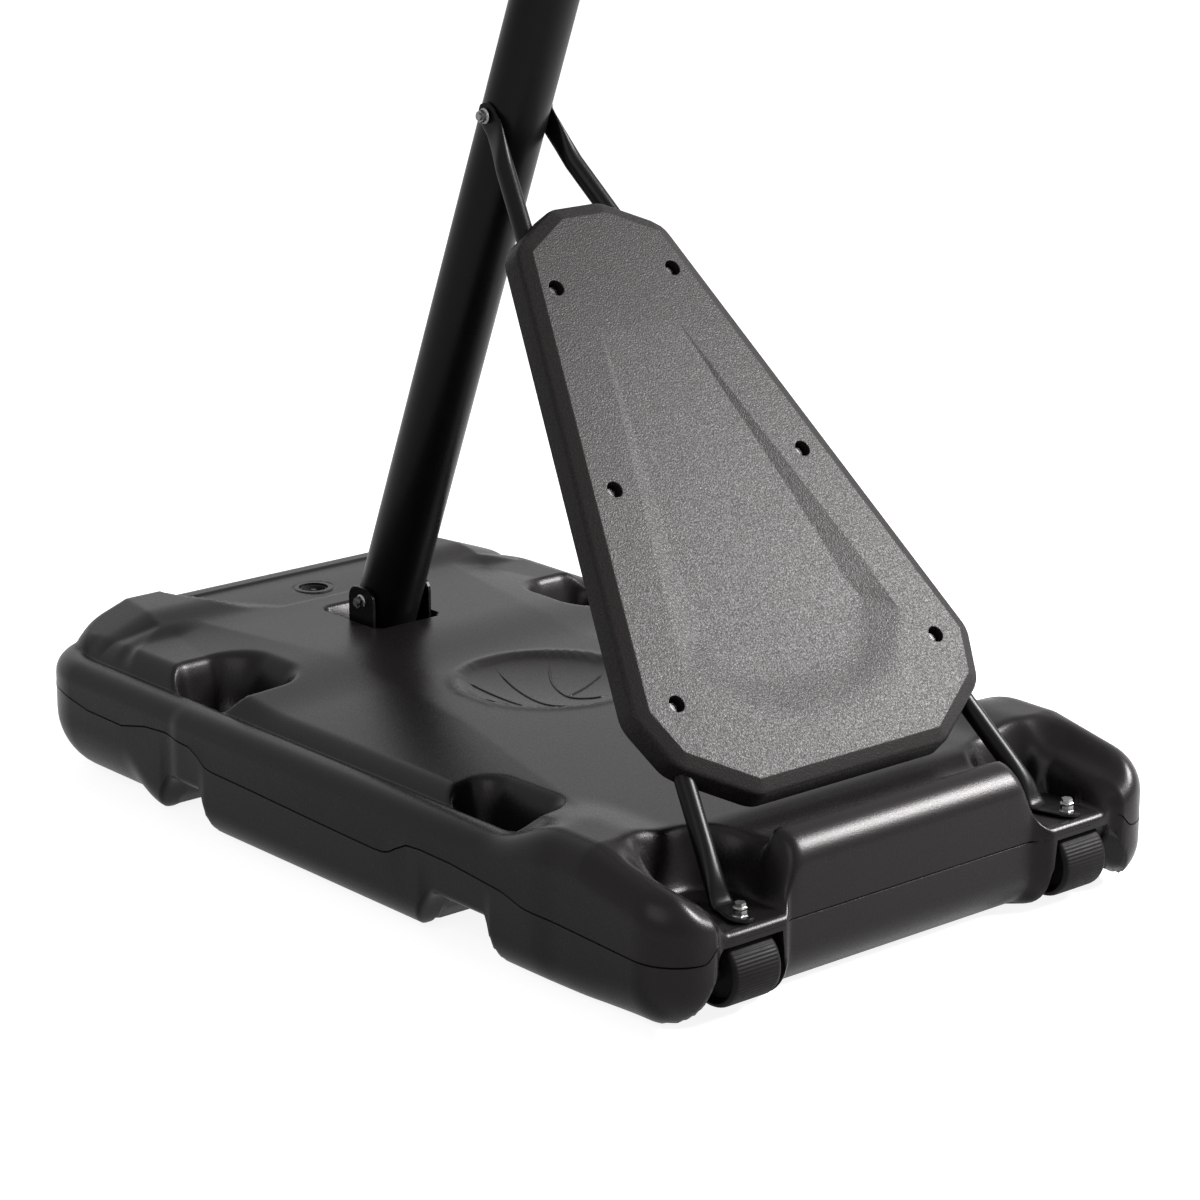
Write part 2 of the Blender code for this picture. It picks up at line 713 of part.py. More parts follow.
def build_filler():
    """A moulded neck ring let into the tray, with a screw cap inside it."""
    tray_level = DECK_TOP - TRAY_DEPTH
    sleeve = FILLER_INNER + FILLER_FLANGE
    neck = [
        (FILLER_OUTER - 0.002, FILLER_RING_HEIGHT),
        (FILLER_OUTER, FILLER_RING_HEIGHT - 0.002),
        (FILLER_OUTER, GAP),
        (sleeve, GAP),
        (sleeve, -FILLER_SLEEVE),
        (FILLER_INNER, -FILLER_SLEEVE),
        (FILLER_INNER, FILLER_RING_HEIGHT),
    ]
    turned("filler_neck", neck, MOULDED, 24, spot=(0, FILLER_Y, tray_level))
    grip = 0.004
    cap = [
        (0, FILLER_RING_HEIGHT - 0.004),
        (grip, FILLER_RING_HEIGHT - 0.004),
        (grip + 0.001, FILLER_RING_HEIGHT - 0.010),
        (FILLER_INNER - 0.005, FILLER_RING_HEIGHT - 0.010),
        (FILLER_INNER - 0.004, FILLER_RING_HEIGHT - CAP_LIP),
        (FILLER_INNER - SLIDE_GAP, FILLER_RING_HEIGHT - CAP_LIP),
        (FILLER_INNER - SLIDE_GAP, FILLER_RING_HEIGHT - CAP_HEIGHT),
        (0, FILLER_RING_HEIGHT - CAP_HEIGHT),
    ]
    turned("filler_cap", cap, GRIP, 24, spot=(0, FILLER_Y, tray_level))


def build_wheels():
    half = (WHEEL_OUTER - WHEEL_INNER) / 2
    bore = AXLE_RADIUS + SLIDE_GAP
    profile = [
        (bore, half - 0.002),
        (HUB_RADIUS, half - 0.002),
        (HUB_RADIUS, half - HUB_DISH_DEPTH),
        (HUB_DISH_RADIUS - 0.003, half - HUB_DISH_DEPTH),
        (HUB_DISH_RADIUS, half),
        (WHEEL_RADIUS - WHEEL_EDGE, half),
        (WHEEL_RADIUS, half - WHEEL_EDGE),
        (WHEEL_RADIUS, WHEEL_EDGE - half),
        (WHEEL_RADIUS - WHEEL_EDGE, -half),
        (HUB_DISH_RADIUS, -half),
        (HUB_DISH_RADIUS - 0.003, HUB_DISH_DEPTH - half),
        (HUB_RADIUS, HUB_DISH_DEPTH - half),
        (HUB_RADIUS, 0.002 - half),
        (bore, 0.002 - half),
    ]
    for side, sign in sides():
        middle = sign * (WHEEL_INNER + WHEEL_OUTER) / 2
        turned(f"wheel_{side}", profile, TREAD, 22, spot=(middle, WHEEL_Y, WHEEL_Z), turn=ALONG_X)
        rod(f"axle_{side}", AXLE_RADIUS, -axle_half(), axle_half(), ZINC, 16,
            spot=(sign * axle_middle(), WHEEL_Y, WHEEL_Z), turn=ALONG_X)



def pole_point(distance):
    """World point on the pole's axis at a distance from the foot bolt."""
    return Vector((0, FOOT_Y - math.sin(LEAN) * distance, FOOT_Z + math.cos(LEAN) * distance))


POLE_FRAME = bpy.data.objects.new("pole_frame", None)
PARTS.objects.link(POLE_FRAME)
POLE_FRAME.location = (0, FOOT_Y, FOOT_Z)
POLE_FRAME.rotation_euler = (LEAN, 0, 0)


def strut_bolt_distance():
    return (STRUT_BOLT_Z - FOOT_Z) / math.cos(LEAN)


def build_pole():
    bore = POLE_RADIUS - POLE_WALL
    lower = tube("pole_lower", POLE_RADIUS, bore, LOWER_START, LOWER_END, STEEL, 24, parent=POLE_FRAME)
    for label, distance in (("foot", 0.0), ("strut", strut_bolt_distance())):
        cut(lower, cross_hole(f"{label}_bolt_hole", BOLT_RADIUS, pole_point(distance)))

    swage = POLE_RADIUS - SWAGE_DROP
    shoulder = LOWER_END + GAP
    middle_profile = [
        (POLE_RADIUS, MIDDLE_END),
        (POLE_RADIUS, shoulder),
        (swage, shoulder - 0.0001),
        (swage, SWAGE_START),
        (swage - POLE_WALL, SWAGE_START),
        (swage - POLE_WALL, shoulder),
        (bore, shoulder + 0.004),
        (bore, MIDDLE_END),
    ]
    middle = turned("pole_middle", middle_profile, STEEL, 24, parent=POLE_FRAME)
    cut(middle, helper_rod("knob_hole", SCREW_RADIUS + SLIDE_GAP, 0.0, POLE_RADIUS + CUT_PAST, 20,
                           parent=POLE_FRAME, spot=(0, 0, KNOB_T), turn=(math.radians(-90), 0, 0)))

    upper_bore = UPPER_RADIUS - POLE_WALL
    upper = tube("pole_upper", UPPER_RADIUS, upper_bore, UPPER_START, UPPER_END, STEEL, parent=POLE_FRAME)
    for label, distance in (("low", LOW_ARM_T), ("high", HIGH_ARM_T)):
        cut(upper, cross_hole(f"{label}_arm_hole", BOLT_RADIUS, pole_point(distance)))

    slide = UPPER_RADIUS + SLIDE_GAP
    bushing_low = MIDDLE_END - BUSHING_SKIRT
    bushing_high = MIDDLE_END + BUSHING_TOP
    bushing = [
        (slide + 0.003, bushing_high),
        (BUSHING_RADIUS - 0.004, bushing_high),
        (BUSHING_RADIUS, bushing_high - 0.004),
        (BUSHING_RADIUS, bushing_low),
        (POLE_RADIUS + GAP, bushing_low),
        (POLE_RADIUS + GAP, MIDDLE_END + GAP),
        (bore - GAP, MIDDLE_END + GAP),
        (bore - GAP, MIDDLE_END - BUSHING_LINER),
        (slide, MIDDLE_END - BUSHING_LINER),
        (slide, bushing_high - 0.003),
    ]
    turned("pole_bushing", bushing, GRIP, 24, parent=POLE_FRAME)

    collar_low = bushing_high + GAP
    collar_high = collar_low + COLLAR_HEIGHT
    collar = [
        (UPPER_RADIUS + GAP, collar_high),
        (COLLAR_RADIUS - 0.003, collar_high),
        (COLLAR_RADIUS, collar_high - 0.003),
        (COLLAR_RADIUS, collar_low + 0.003),
        (COLLAR_RADIUS - 0.003, collar_low),
        (UPPER_RADIUS + GAP, collar_low),
    ]
    turned("stop_collar", collar, STEEL, 24, parent=POLE_FRAME)

    cap = [
        (0, UPPER_END + POLE_CAP_HEIGHT),
        (0.020, UPPER_END + POLE_CAP_HEIGHT - 0.002),
        (0.032, UPPER_END + POLE_CAP_HEIGHT - 0.008),
        (UPPER_RADIUS + 0.0015, UPPER_END + 0.008),
        (UPPER_RADIUS + 0.0015, UPPER_END + GAP),
        (upper_bore - GAP, UPPER_END + GAP),
        (upper_bore - GAP, UPPER_END - POLE_CAP_PLUG),
        (0, UPPER_END - POLE_CAP_PLUG),
    ]
    turned("pole_cap", cap, GRIP, 24, parent=POLE_FRAME)


def build_knob():
    """Threaded boss on the rear of the middle pole and the clamp knob whose tip presses the inner pole."""
    facing_back = (math.radians(-90), 0, 0)
    boss_low = POLE_RADIUS - 0.0012
    boss_high = POLE_RADIUS + BOSS_HEIGHT
    saddle = helper_rod("boss_saddle", POLE_RADIUS + GAP, -CUT_PAST, CUT_PAST, 48,
                        parent=POLE_FRAME, spot=(0, 0, KNOB_T))
    bore = SCREW_RADIUS + SLIDE_GAP
    section = [
        (bore, boss_high),
        (BOSS_RADIUS - 0.002, boss_high),
        (BOSS_RADIUS, boss_high - 0.002),
        (BOSS_RADIUS, boss_low - 0.004),
        (bore, boss_low - 0.004),
    ]
    boss = turned("knob_boss", section, STEEL, 20, parent=POLE_FRAME, spot=(0, 0, KNOB_T), turn=facing_back)
    cut(boss, saddle)

    grip_low = boss_high + 0.003
    grip_high = grip_low + KNOB_HEIGHT
    count = KNOB_LOBES * 8
    rings = []
    levels = ((grip_low, 0.80), (grip_low + 0.004, 1.0), (grip_high - 0.006, 1.0), (grip_high, 0.74))
    for level, size in levels:
        ring = []
        for index in range(count):
            angle = index * 2 * math.pi / count
            reach = KNOB_RADIUS * size * (0.90 + 0.10 * math.cos(KNOB_LOBES * angle))
            ring.append((reach * math.cos(angle), reach * math.sin(angle), level))
        rings.append(ring)
    knob = loft("height_knob", rings, GRIP, parent=POLE_FRAME, spot=(0, 0, KNOB_T), turn=facing_back)
    tip = UPPER_RADIUS + GAP
    add(knob, helper_rod("knob_screw", SCREW_RADIUS, tip, grip_low + 0.010, 20, parent=POLE_FRAME,
                         spot=(0, 0, KNOB_T), turn=facing_back))


def build_foot():
    inner = POLE_RADIUS + BRACKET_GAP
    outer = inner + BRACKET_THICK
    base = WELL_FLOOR + GAP
    section = [
        (-outer, base),
        (outer, base),
        (outer, BRACKET_TOP),
        (inner, BRACKET_TOP),
        (inner, base + BRACKET_THICK),
        (-inner, base + BRACKET_THICK),
        (-inner, BRACKET_TOP),
        (-outer, BRACKET_TOP),
    ]
    bracket = prism("foot_bracket", section, -BRACKET_BACK, -BRACKET_FRONT, STEEL, turn=FACING_FRONT)
    tail_half = outer - 0.004
    tail = [
        (-tail_half, BRACKET_BACK - 0.02),
        (tail_half, BRACKET_BACK - 0.02),
        (tail_half, BRACKET_TAIL),
        (BRACKET_NOTCH, BRACKET_TAIL),
        (0, BRACKET_TAIL - BRACKET_NOTCH),
        (-BRACKET_NOTCH, BRACKET_TAIL),
        (-tail_half, BRACKET_TAIL),
    ]
    add(bracket, prism("foot_tail", tail, base + 0.0002, base + BRACKET_THICK - 0.0002, helper=True))
    shoulder = base + 0.03
    above = BRACKET_TOP + 0.03
    outline = [
        (BRACKET_FRONT - 0.03, shoulder),
        (BRACKET_FRONT, shoulder),
        (BRACKET_FRONT, BRACKET_TOP),
        (BRACKET_BACK, BRACKET_TOP),
        (BRACKET_BACK, shoulder),
        (BRACKET_BACK + 0.03, shoulder),
        (BRACKET_BACK + 0.03, above),
        (BRACKET_FRONT - 0.03, above),
    ]
    arc = rounded(outline, (0.001, 0.001, 0.018, 0.018, 0.001, 0.001, 0.001, 0.001), 4)
    cut(bracket, prism("ear_rounding", arc, -0.08, 0.08, helper=True, turn=SECTION_YZ))
    cut(bracket, cross_hole("bracket_hole", BOLT_RADIUS, (0, FOOT_Y, FOOT_Z)))
    cross_bolt("foot_bolt", "foot_nut", outer, (0, FOOT_Y, FOOT_Z))



def formed_ring(centre, wide, thin, half_wide, half_thin, power):
    """Closed section: superellipse in the plane of two unit vectors."""
    count = 12
    ring = []
    for index in range(count):
        angle = index * 2 * math.pi / count
        along = math.copysign(abs(math.cos(angle)) ** power, math.cos(angle)) * half_wide
        across = math.copysign(abs(math.sin(angle)) ** power, math.sin(angle)) * half_thin
        ring.append(centre + wide * along + thin * across)
    return ring


def tab_end(centre, tip, wide, thin):
    """Rings that close a flat end in a half circle beyond its bolt."""
    rings = []
    for fraction in (0.60, 0.96):
        width = FLAT_HALF * math.sqrt(1 - fraction**2)
        spot = centre + tip * FLAT_HALF * fraction
        rings.append(formed_ring(spot, wide, thin, width, FLAT_THICK / 2, 0.7))
    return rings


def strut_axis(fraction, sign):
    top = Vector((STRUT_TOP_X, STRUT_TOP_Y, STRUT_TOP_Z))
    foot = Vector((STRUT_FOOT_X, STRUT_FOOT_Y, STRUT_FOOT_Z))
    point = top.lerp(foot, fraction)
    return Vector((sign * point.x, point.y, point.z))


def strut_direction(sign):
    return (strut_axis(1, sign) - strut_axis(0, sign)).normalized()


def build_struts():
    for side, sign in sides():
        down = strut_direction(sign)
        lateral = Vector((sign, 0, 0))
        fore = Vector((0, down.y, down.z)).normalized()
        flat_wide = Vector((0, fore.z, -fore.y))
        round_wide = (flat_wide - down * flat_wide.dot(down)).normalized()
        round_thin = down.cross(round_wide).normalized()
        if round_thin.dot(lateral) < 0:
            round_thin = -round_thin
        ear = Vector((sign * STRUT_EAR_X, STRUT_BOLT_Y, STRUT_BOLT_Z))
        rings = list(reversed(tab_end(ear, -fore, flat_wide, lateral)))
        rings.append(formed_ring(ear, flat_wide, lateral, FLAT_HALF, FLAT_THICK / 2, 0.7))
        rings.append(formed_ring(ear + fore * 0.022, flat_wide, lateral, FLAT_HALF, FLAT_THICK / 2, 0.75))
        shoulder = strut_axis(0.075, sign)
        middle = (ear + fore * 0.022).lerp(shoulder, 0.5)
        rings.append(formed_ring(middle, flat_wide, lateral, 0.0160, 0.0075, 0.9))
        for centre in (shoulder, strut_axis(0.925, sign)):
            rings.append(formed_ring(centre, round_wide, round_thin, STRUT_RADIUS, STRUT_RADIUS, 1.0))

        level = BAY_FLOOR + GAP + FLAT_THICK / 2
        pin = Vector((sign * STRUT_PIN_X, STRUT_PIN_Y, level))
        heel = Vector((sign * (STRUT_FOOT_X - 0.004), STRUT_FOOT_Y + 0.002, level))
        run = (pin - heel).normalized()
        foot_wide = Vector((-run.y, run.x, 0)) * (1 if sign > 0 else -1)
        start_wide = round_thin
        if start_wide.dot(foot_wide) < 0:
            foot_wide = -foot_wide
        upward = Vector((0, 0, 1))
        bend = strut_axis(0.972, sign)
        bend_wide = foot_wide.lerp(start_wide, 0.35).normalized()
        bend_thin = upward.lerp(round_wide if round_wide.dot(upward) > 0 else -round_wide, 0.6).normalized()
        rings.append(formed_ring(bend, bend_thin, bend_wide, 0.0065, 0.0150, 0.9))
        thick = FLAT_THICK / 2 + 0.0006
        rings.append(formed_ring(heel + upward * 0.0006, upward, foot_wide, thick, 0.0165, 0.75))
        for reach in (0.014, (pin - heel).length):
            rings.append(formed_ring(heel + run * reach, upward, foot_wide, FLAT_THICK / 2, FLAT_HALF, 0.7))
        for fraction in (0.60, 0.96):
            width = FLAT_HALF * math.sqrt(1 - fraction**2)
            beyond = pin + run * FLAT_HALF * fraction
            rings.append(formed_ring(beyond, upward, foot_wide, FLAT_THICK / 2, width, 0.7))
        strut = loft(f"strut_{side}", rings, STEEL)

        cut(strut, helper_rod(f"strut_ear_hole_{side}", BOLT_RADIUS + GAP, -0.02, 0.02,
                              spot=(sign * STRUT_EAR_X, STRUT_BOLT_Y, STRUT_BOLT_Z), turn=ALONG_X))
        cut(strut, helper_rod(f"strut_foot_hole_{side}", BOLT_RADIUS + GAP, LEDGE_UNDER, BAY_FLOOR + 0.02,
                              spot=(sign * STRUT_PIN_X, STRUT_PIN_Y, 0)))
        top = BAY_FLOOR + GAP + FLAT_THICK + GAP
        nut(f"strut_foot_nut_{side}", FOOT_NUT_HEIGHT, spot=(sign * STRUT_PIN_X, STRUT_PIN_Y, top))
        head = top + FOOT_NUT_HEIGHT + FOOT_NECK
        bolt(f"strut_foot_bolt_{side}", head - LEDGE_UNDER, head=0.0072,
             spot=(sign * STRUT_PIN_X, STRUT_PIN_Y, head))
    cross_bolt("strut_bolt", "strut_nut", STRUT_EAR_X + FLAT_THICK / 2, (0, STRUT_BOLT_Y, STRUT_BOLT_Z))


SHIELD_FRAME = bpy.data.objects.new("shield_frame", None)
PARTS.objects.link(SHIELD_FRAME)
SHIELD_FRAME.location = (0, SHIELD_Y, SHIELD_Z)
SHIELD_FRAME.rotation_euler = (SHIELD_TILT, 0, 0)


def into_shield(point):
    """World point in the panel's frame: x across, y up the panel, z out of its face."""
    offset = point - Vector((0, SHIELD_Y, SHIELD_Z))
    return Matrix.Rotation(-SHIELD_TILT, 3, "X") @ offset


def shield_bolt_spots():
    """Where the strut axes pass under the three rows of holes."""
    spots = []
    for row, level in enumerate((0.0, -0.2839, -0.5716)):
        for side, sign in sides():
            first = into_shield(strut_axis(0, sign))
            last = into_shield(strut_axis(1, sign))
            share = (level - first.y) / (last.y - first.y)
            spots.append((f"{row * 2 + (1 if sign < 0 else 2)}", first.lerp(last, share), side))
    return spots


def shield_ring(corners, spread, height, steps=3):
    radii = [SHIELD_CORNER + max(spread, 0) for _ in corners]
    return [(x, y, height) for x, y in rounded(grown(corners, spread), radii, steps)]


def build_shield():
    half = [
        (SHIELD_LOW_HALF, SHIELD_LOW), (SHIELD_TOE_HALF, SHIELD_TOE), (SHIELD_HIP_HALF, SHIELD_HIP),
        (SHIELD_SHOULDER_HALF, SHIELD_SHOULDER), (SHIELD_TOP_HALF, SHIELD_TOP),
    ]
    corners = half + [(-x, y) for x, y in reversed(half)]
    low = -SHIELD_DEPTH
    rings = [
        shield_ring(corners, -0.001, -SHIELD_WALL - 0.0008),
        shield_ring(corners, SHIELD_CHAMFER - 0.003, -SHIELD_CHAMFER_DROP - SHIELD_WALL - 0.002),
        shield_ring(corners, SHIELD_SIDE - SHIELD_WALL, low),
        shield_ring(corners, SHIELD_SIDE, low),
        shield_ring(corners, SHIELD_CHAMFER + 0.0030, -SHIELD_CHAMFER_DROP - 0.005),
        shield_ring(corners, SHIELD_CHAMFER - 0.002, -SHIELD_CHAMFER_DROP),
        shield_ring(corners, 0.0, 0.0),
    ]
    shield = loft("shield_panel", rings, PANEL, parent=SHIELD_FRAME)
    for label, spot, _ in shield_bolt_spots():
        cup = helper_rod(f"cup_{label}", CUP_RADIUS + CUP_WALL, -CUP_BOTTOM - CUP_WALL, -0.001,
                         parent=SHIELD_FRAME, spot=(spot.x, spot.y, 0))
        add(shield, cup)
    for label, spot, _ in shield_bolt_spots():
        cut(shield, helper_rod(f"cup_bore_{label}", CUP_RADIUS, -CUP_BOTTOM, 0.01,
                               parent=SHIELD_FRAME, spot=(spot.x, spot.y, 0)))
        cut(shield, helper_rod(f"cup_hole_{label}", SCREW_SMALL + GAP, -0.04, 0.01,
                               parent=SHIELD_FRAME, spot=(spot.x, spot.y, 0)))
    cut_swords(shield)
    for side, sign in sides():
        first = into_shield(strut_axis(0.02, sign))
        last = into_shield(strut_axis(0.99, sign))
        run = last - first
        spin = run.to_track_quat("Z", "X").to_euler()
        channel = helper_rod(f"strut_channel_{side}", STRUT_RADIUS + 0.001, 0.0, run.length, 12,
                             parent=SHIELD_FRAME, spot=first, turn=spin)
        cut(shield, channel)
        half = STRUT_RADIUS + 0.001
        slot = [(-half, -0.03), (half, -0.03), (half, 0.0), (-half, 0.0)]
        rings = []
        for end in (first, last):
            rings.append([Vector((end.x + x, end.y, end.z + z)) for x, z in slot])
        cut(shield, loft(f"strut_slot_{side}", rings, helper=True, parent=SHIELD_FRAME))
    for label, spot, side in shield_bolt_spots():
        seat = -CUP_BOTTOM + GAP
        reach = (-spot.z) - CUP_BOTTOM + 0.006
        bolt(f"shield_bolt_{label}", reach + GAP, SCREW_SMALL, SCREW_SMALL_HEAD, SCREW_SMALL_HEIGHT,
             parent=SHIELD_FRAME, spot=(spot.x, spot.y, seat))
        strut = bpy.data.objects[f"strut_{side}"]
        cut(strut, helper_rod(f"shield_screw_hole_{label}", SCREW_SMALL + GAP, spot.z - 0.008, 0.0, 10,
                              parent=SHIELD_FRAME, spot=(spot.x, spot.y, 0)))


def cut_swords(shield):
    """A long shallow facet each side, deepest along its inner edge."""
    outer = (
        Vector((0.066, -0.076)),
        Vector((0.098, -0.1415)),
        Vector((0.156, -0.280)),
        Vector((0.173, -0.450)),
        Vector((0.184, -0.532)),
    )
    inner = (
        Vector((0.066, -0.078)),
        Vector((0.089, -0.150)),
        Vector((0.117, -0.250)),
        Vector((0.123, -0.4425)),
        Vector((0.142, -0.5875)),
    )
    for side, sign in sides():
        rings = []
        for near, far in zip(inner, outer):
            depth = SWORD_DEPTH * min(1.0, (near - inner[0]).length / 0.1)
            rings.append([
                Vector((sign * near.x, near.y, 0.010)),
                Vector((sign * near.x, near.y, -depth)),
                Vector((sign * (far.x + 0.001), far.y, 0.0001)),
                Vector((sign * (far.x + 0.001), far.y, 0.010)),
            ])
        cut(shield, loft(f"sword_{side}", rings, helper=True, parent=SHIELD_FRAME))



def square_tube(name, axis, low, high, centre):
    """Hollow square tube along X or Z with softened edges and open ends."""
    first, second = centre

    def ring(half, radius, station):
        outline = box_outline(-half, half, -half, half, (radius,) * 4, 2)
        if axis == "X":
            return [Vector((station, first + a, second + b)) for a, b in outline]
        return [Vector((first + a, second + b, station)) for a, b in outline]

    outer = TUBE_SIDE / 2
    inner = outer - TUBE_WALL
    rings = [ring(outer, 0.003, low), ring(outer, 0.003, high)]
    rings += [ring(inner, 0.0012, high), ring(inner, 0.0012, low)]
    return loft(name, rings, STEEL, closed=True)


def tube_y():
    return BOARD_FRONT + SHEET_THICK + GAP + TUBE_SIDE / 2


def arm_hole_y():
    return BOARD_FRONT + ARM_HOLE_BEHIND


def build_board():
    half = TUBE_SIDE / 2
    square_tube("frame_top", "X", -BOARD_HALF, BOARD_HALF, (tube_y(), BOARD_HIGH - half))
    square_tube("frame_bottom", "X", -BOARD_HALF, BOARD_HALF, (tube_y(), BOARD_LOW + half))
    for side, sign in sides():
        square_tube(f"frame_{side}", "Z", BOARD_LOW + TUBE_SIDE + GAP, BOARD_HIGH - TUBE_SIDE - GAP,
                    (sign * (BOARD_HALF - half), tube_y()))
    inner = BOARD_HALF - TUBE_SIDE - GAP
    low_rail = square_tube("cross_rail_low", "X", -inner, inner, (tube_y(), LOW_RAIL_Z))
    square_tube("cross_rail_high", "X", -inner, inner, (tube_y(), HIGH_RAIL_Z))

    edge = BOARD_HALF - 0.001
    sheet_outline = box_outline(-edge, edge, BOARD_LOW + 0.001, BOARD_HIGH - 0.001, (0.006,) * 4, 3)
    sheet = prism("board_sheet", sheet_outline, -(BOARD_FRONT + SHEET_THICK), -BOARD_FRONT, CLEAR,
                  turn=FACING_FRONT)

    front = tube_y() + half + GAP
    back = front + CHANNEL_DEPTH
    web = CHANNEL_HALF - CHANNEL_WALL
    section = [
        (-CHANNEL_HALF, front),
        (CHANNEL_HALF, front),
        (CHANNEL_HALF, back),
        (web, back),
        (web, front + CHANNEL_WALL),
        (-web, front + CHANNEL_WALL),
        (-web, back),
        (-CHANNEL_HALF, back),
    ]
    channel = prism("mount_channel", section, CHANNEL_LOW, CHANNEL_HIGH, STEEL)
    for label, level in (("low", LOW_ARM_Z), ("high", HIGH_ARM_Z)):
        cut(channel, cross_hole(f"channel_hole_{label}", BOLT_RADIUS, (0, arm_hole_y(), level)))
    for side, sign in sides():
        shaft = helper_rod(f"rim_bolt_hole_{side}", RIM_BOLT_RADIUS + GAP, 0.0, 0.12,
                           spot=(sign * RIM_BOLT_X, BOARD_FRONT - 0.04, LOW_RAIL_Z),
                           turn=(math.radians(-90), 0, 0))
        for piece in (sheet, low_rail, channel):
            cut(piece, shaft)


def build_arms():
    pairs = (("lower_brace", LOW_ARM_T, LOW_ARM_Z), ("upper_brace", HIGH_ARM_T, HIGH_ARM_Z))
    for label, distance, level in pairs:
        start = pole_point(distance)
        end = Vector((0, arm_hole_y(), level))
        run = (end - start).normalized()
        upright = Vector((0, -run.z, run.y))
        if upright.z < 0:
            upright = -upright
        length = (end - start).length
        for side, sign in sides():
            lateral = Vector((sign, 0, 0))
            near = lateral * (UPPER_RADIUS + GAP + FLAT_THICK / 2)
            far = lateral * (CHANNEL_HALF + GAP + FLAT_THICK / 2)
            flat = FLAT_THICK / 2
            bulge = lateral * (far.x * sign + 0.001)
            rings = list(reversed(tab_end(start + near, -run, upright, lateral)))
            rings.append(formed_ring(start + near, upright, lateral, FLAT_HALF, flat, 0.7))
            rings.append(formed_ring(start + near + run * 0.040, upright, lateral, FLAT_HALF, flat, 0.75))
            swell = start + near.lerp(bulge, 0.6) + run * 0.080
            rings.append(formed_ring(swell, upright, lateral, 0.016, 0.009, 0.9))
            for reach in (0.110, length - 0.100):
                centre = start + bulge + run * reach
                rings.append(formed_ring(centre, upright, lateral, ARM_RADIUS, ARM_RADIUS, 1.0))
            pinch = start + bulge.lerp(far, 0.5) + run * (length - 0.066)
            rings.append(formed_ring(pinch, upright, lateral, 0.016, 0.008, 0.9))
            tab = start + far + run * (length - 0.036)
            rings.append(formed_ring(tab, upright, lateral, FLAT_HALF, flat, 0.75))
            rings.append(formed_ring(start + far + run * length, upright, lateral, FLAT_HALF, flat, 0.7))
            rings.extend(tab_end(end + far, run, upright, lateral))
            arm = loft(f"{label}_{side}", rings, STEEL)
            for where, spot in (("pole", start), ("channel", end)):
                cut(arm, cross_hole(f"{label}_{where}_hole_{side}", BOLT_RADIUS, spot))
        cross_bolt(f"{label}_pole_bolt", f"{label}_pole_nut", UPPER_RADIUS + GAP + FLAT_THICK, start)
        cross_bolt(f"{label}_board_bolt", f"{label}_board_nut", CHANNEL_HALF + GAP + FLAT_THICK, end)



def ring_centre_y():
    return BOARD_FRONT - RIM_REACH - RIM_INNER_RADIUS


def hinge_y():
    return BOARD_FRONT - HINGE_AHEAD


def plate_across(name, outline, sign, near, far):
    """Helper plate at right angles to X, between two distances from the middle on one side."""
    low, high = (near, far) if sign > 0 else (-far, -near)
    return prism(name, outline, low, high, helper=True, turn=SECTION_YZ)


def build_rim_bracket():
    back = BOARD_FRONT - GAP
    front = back - BACK_PLATE_THICK
    half = BACK_PLATE_HALF
    plate_outline = box_outline(-half, half, BACK_PLATE_LOW, BACK_PLATE_HIGH, (0.008,) * 4, 3)
    bracket = prism("rim_bracket", plate_outline, -back, -front, ORANGE, turn=FACING_FRONT)
    shelf_under = SHELF_TOP - BACK_PLATE_THICK
    shelf_corners = (0.020, 0.020, 0.001, 0.001)
    shelf = box_outline(-EAR_X, EAR_X, BOARD_FRONT - SHELF_AHEAD, front + 0.002, shelf_corners, 4)
    add(bracket, prism("spring_shelf", shelf, shelf_under, SHELF_TOP, helper=True))
    ear_front = BOARD_FRONT - EAR_AHEAD
    outline = rounded([
        (ear_front, shelf_under),
        (front + 0.002, shelf_under),
        (front + 0.002, EAR_TOP),
        (ear_front, EAR_TOP),
    ], (0.004, 0.0005, 0.0005, 0.012), 4)
    for side, sign in sides():
        made = plate_across(f"hinge_ear_{side}", outline, sign, EAR_X - EAR_THICK, EAR_X - 0.0005)
        add(bracket, made)
        cut(bracket, helper_rod(f"plate_hole_{side}", RIM_BOLT_RADIUS + GAP, 0.0, 0.06,
                                spot=(sign * RIM_BOLT_X, BOARD_FRONT - 0.04, LOW_RAIL_Z),
                                turn=(math.radians(-90), 0, 0)))
    cut(bracket, cross_hole("ear_pin_hole", HINGE_PIN_RADIUS, (0, hinge_y(), HINGE_Z)))


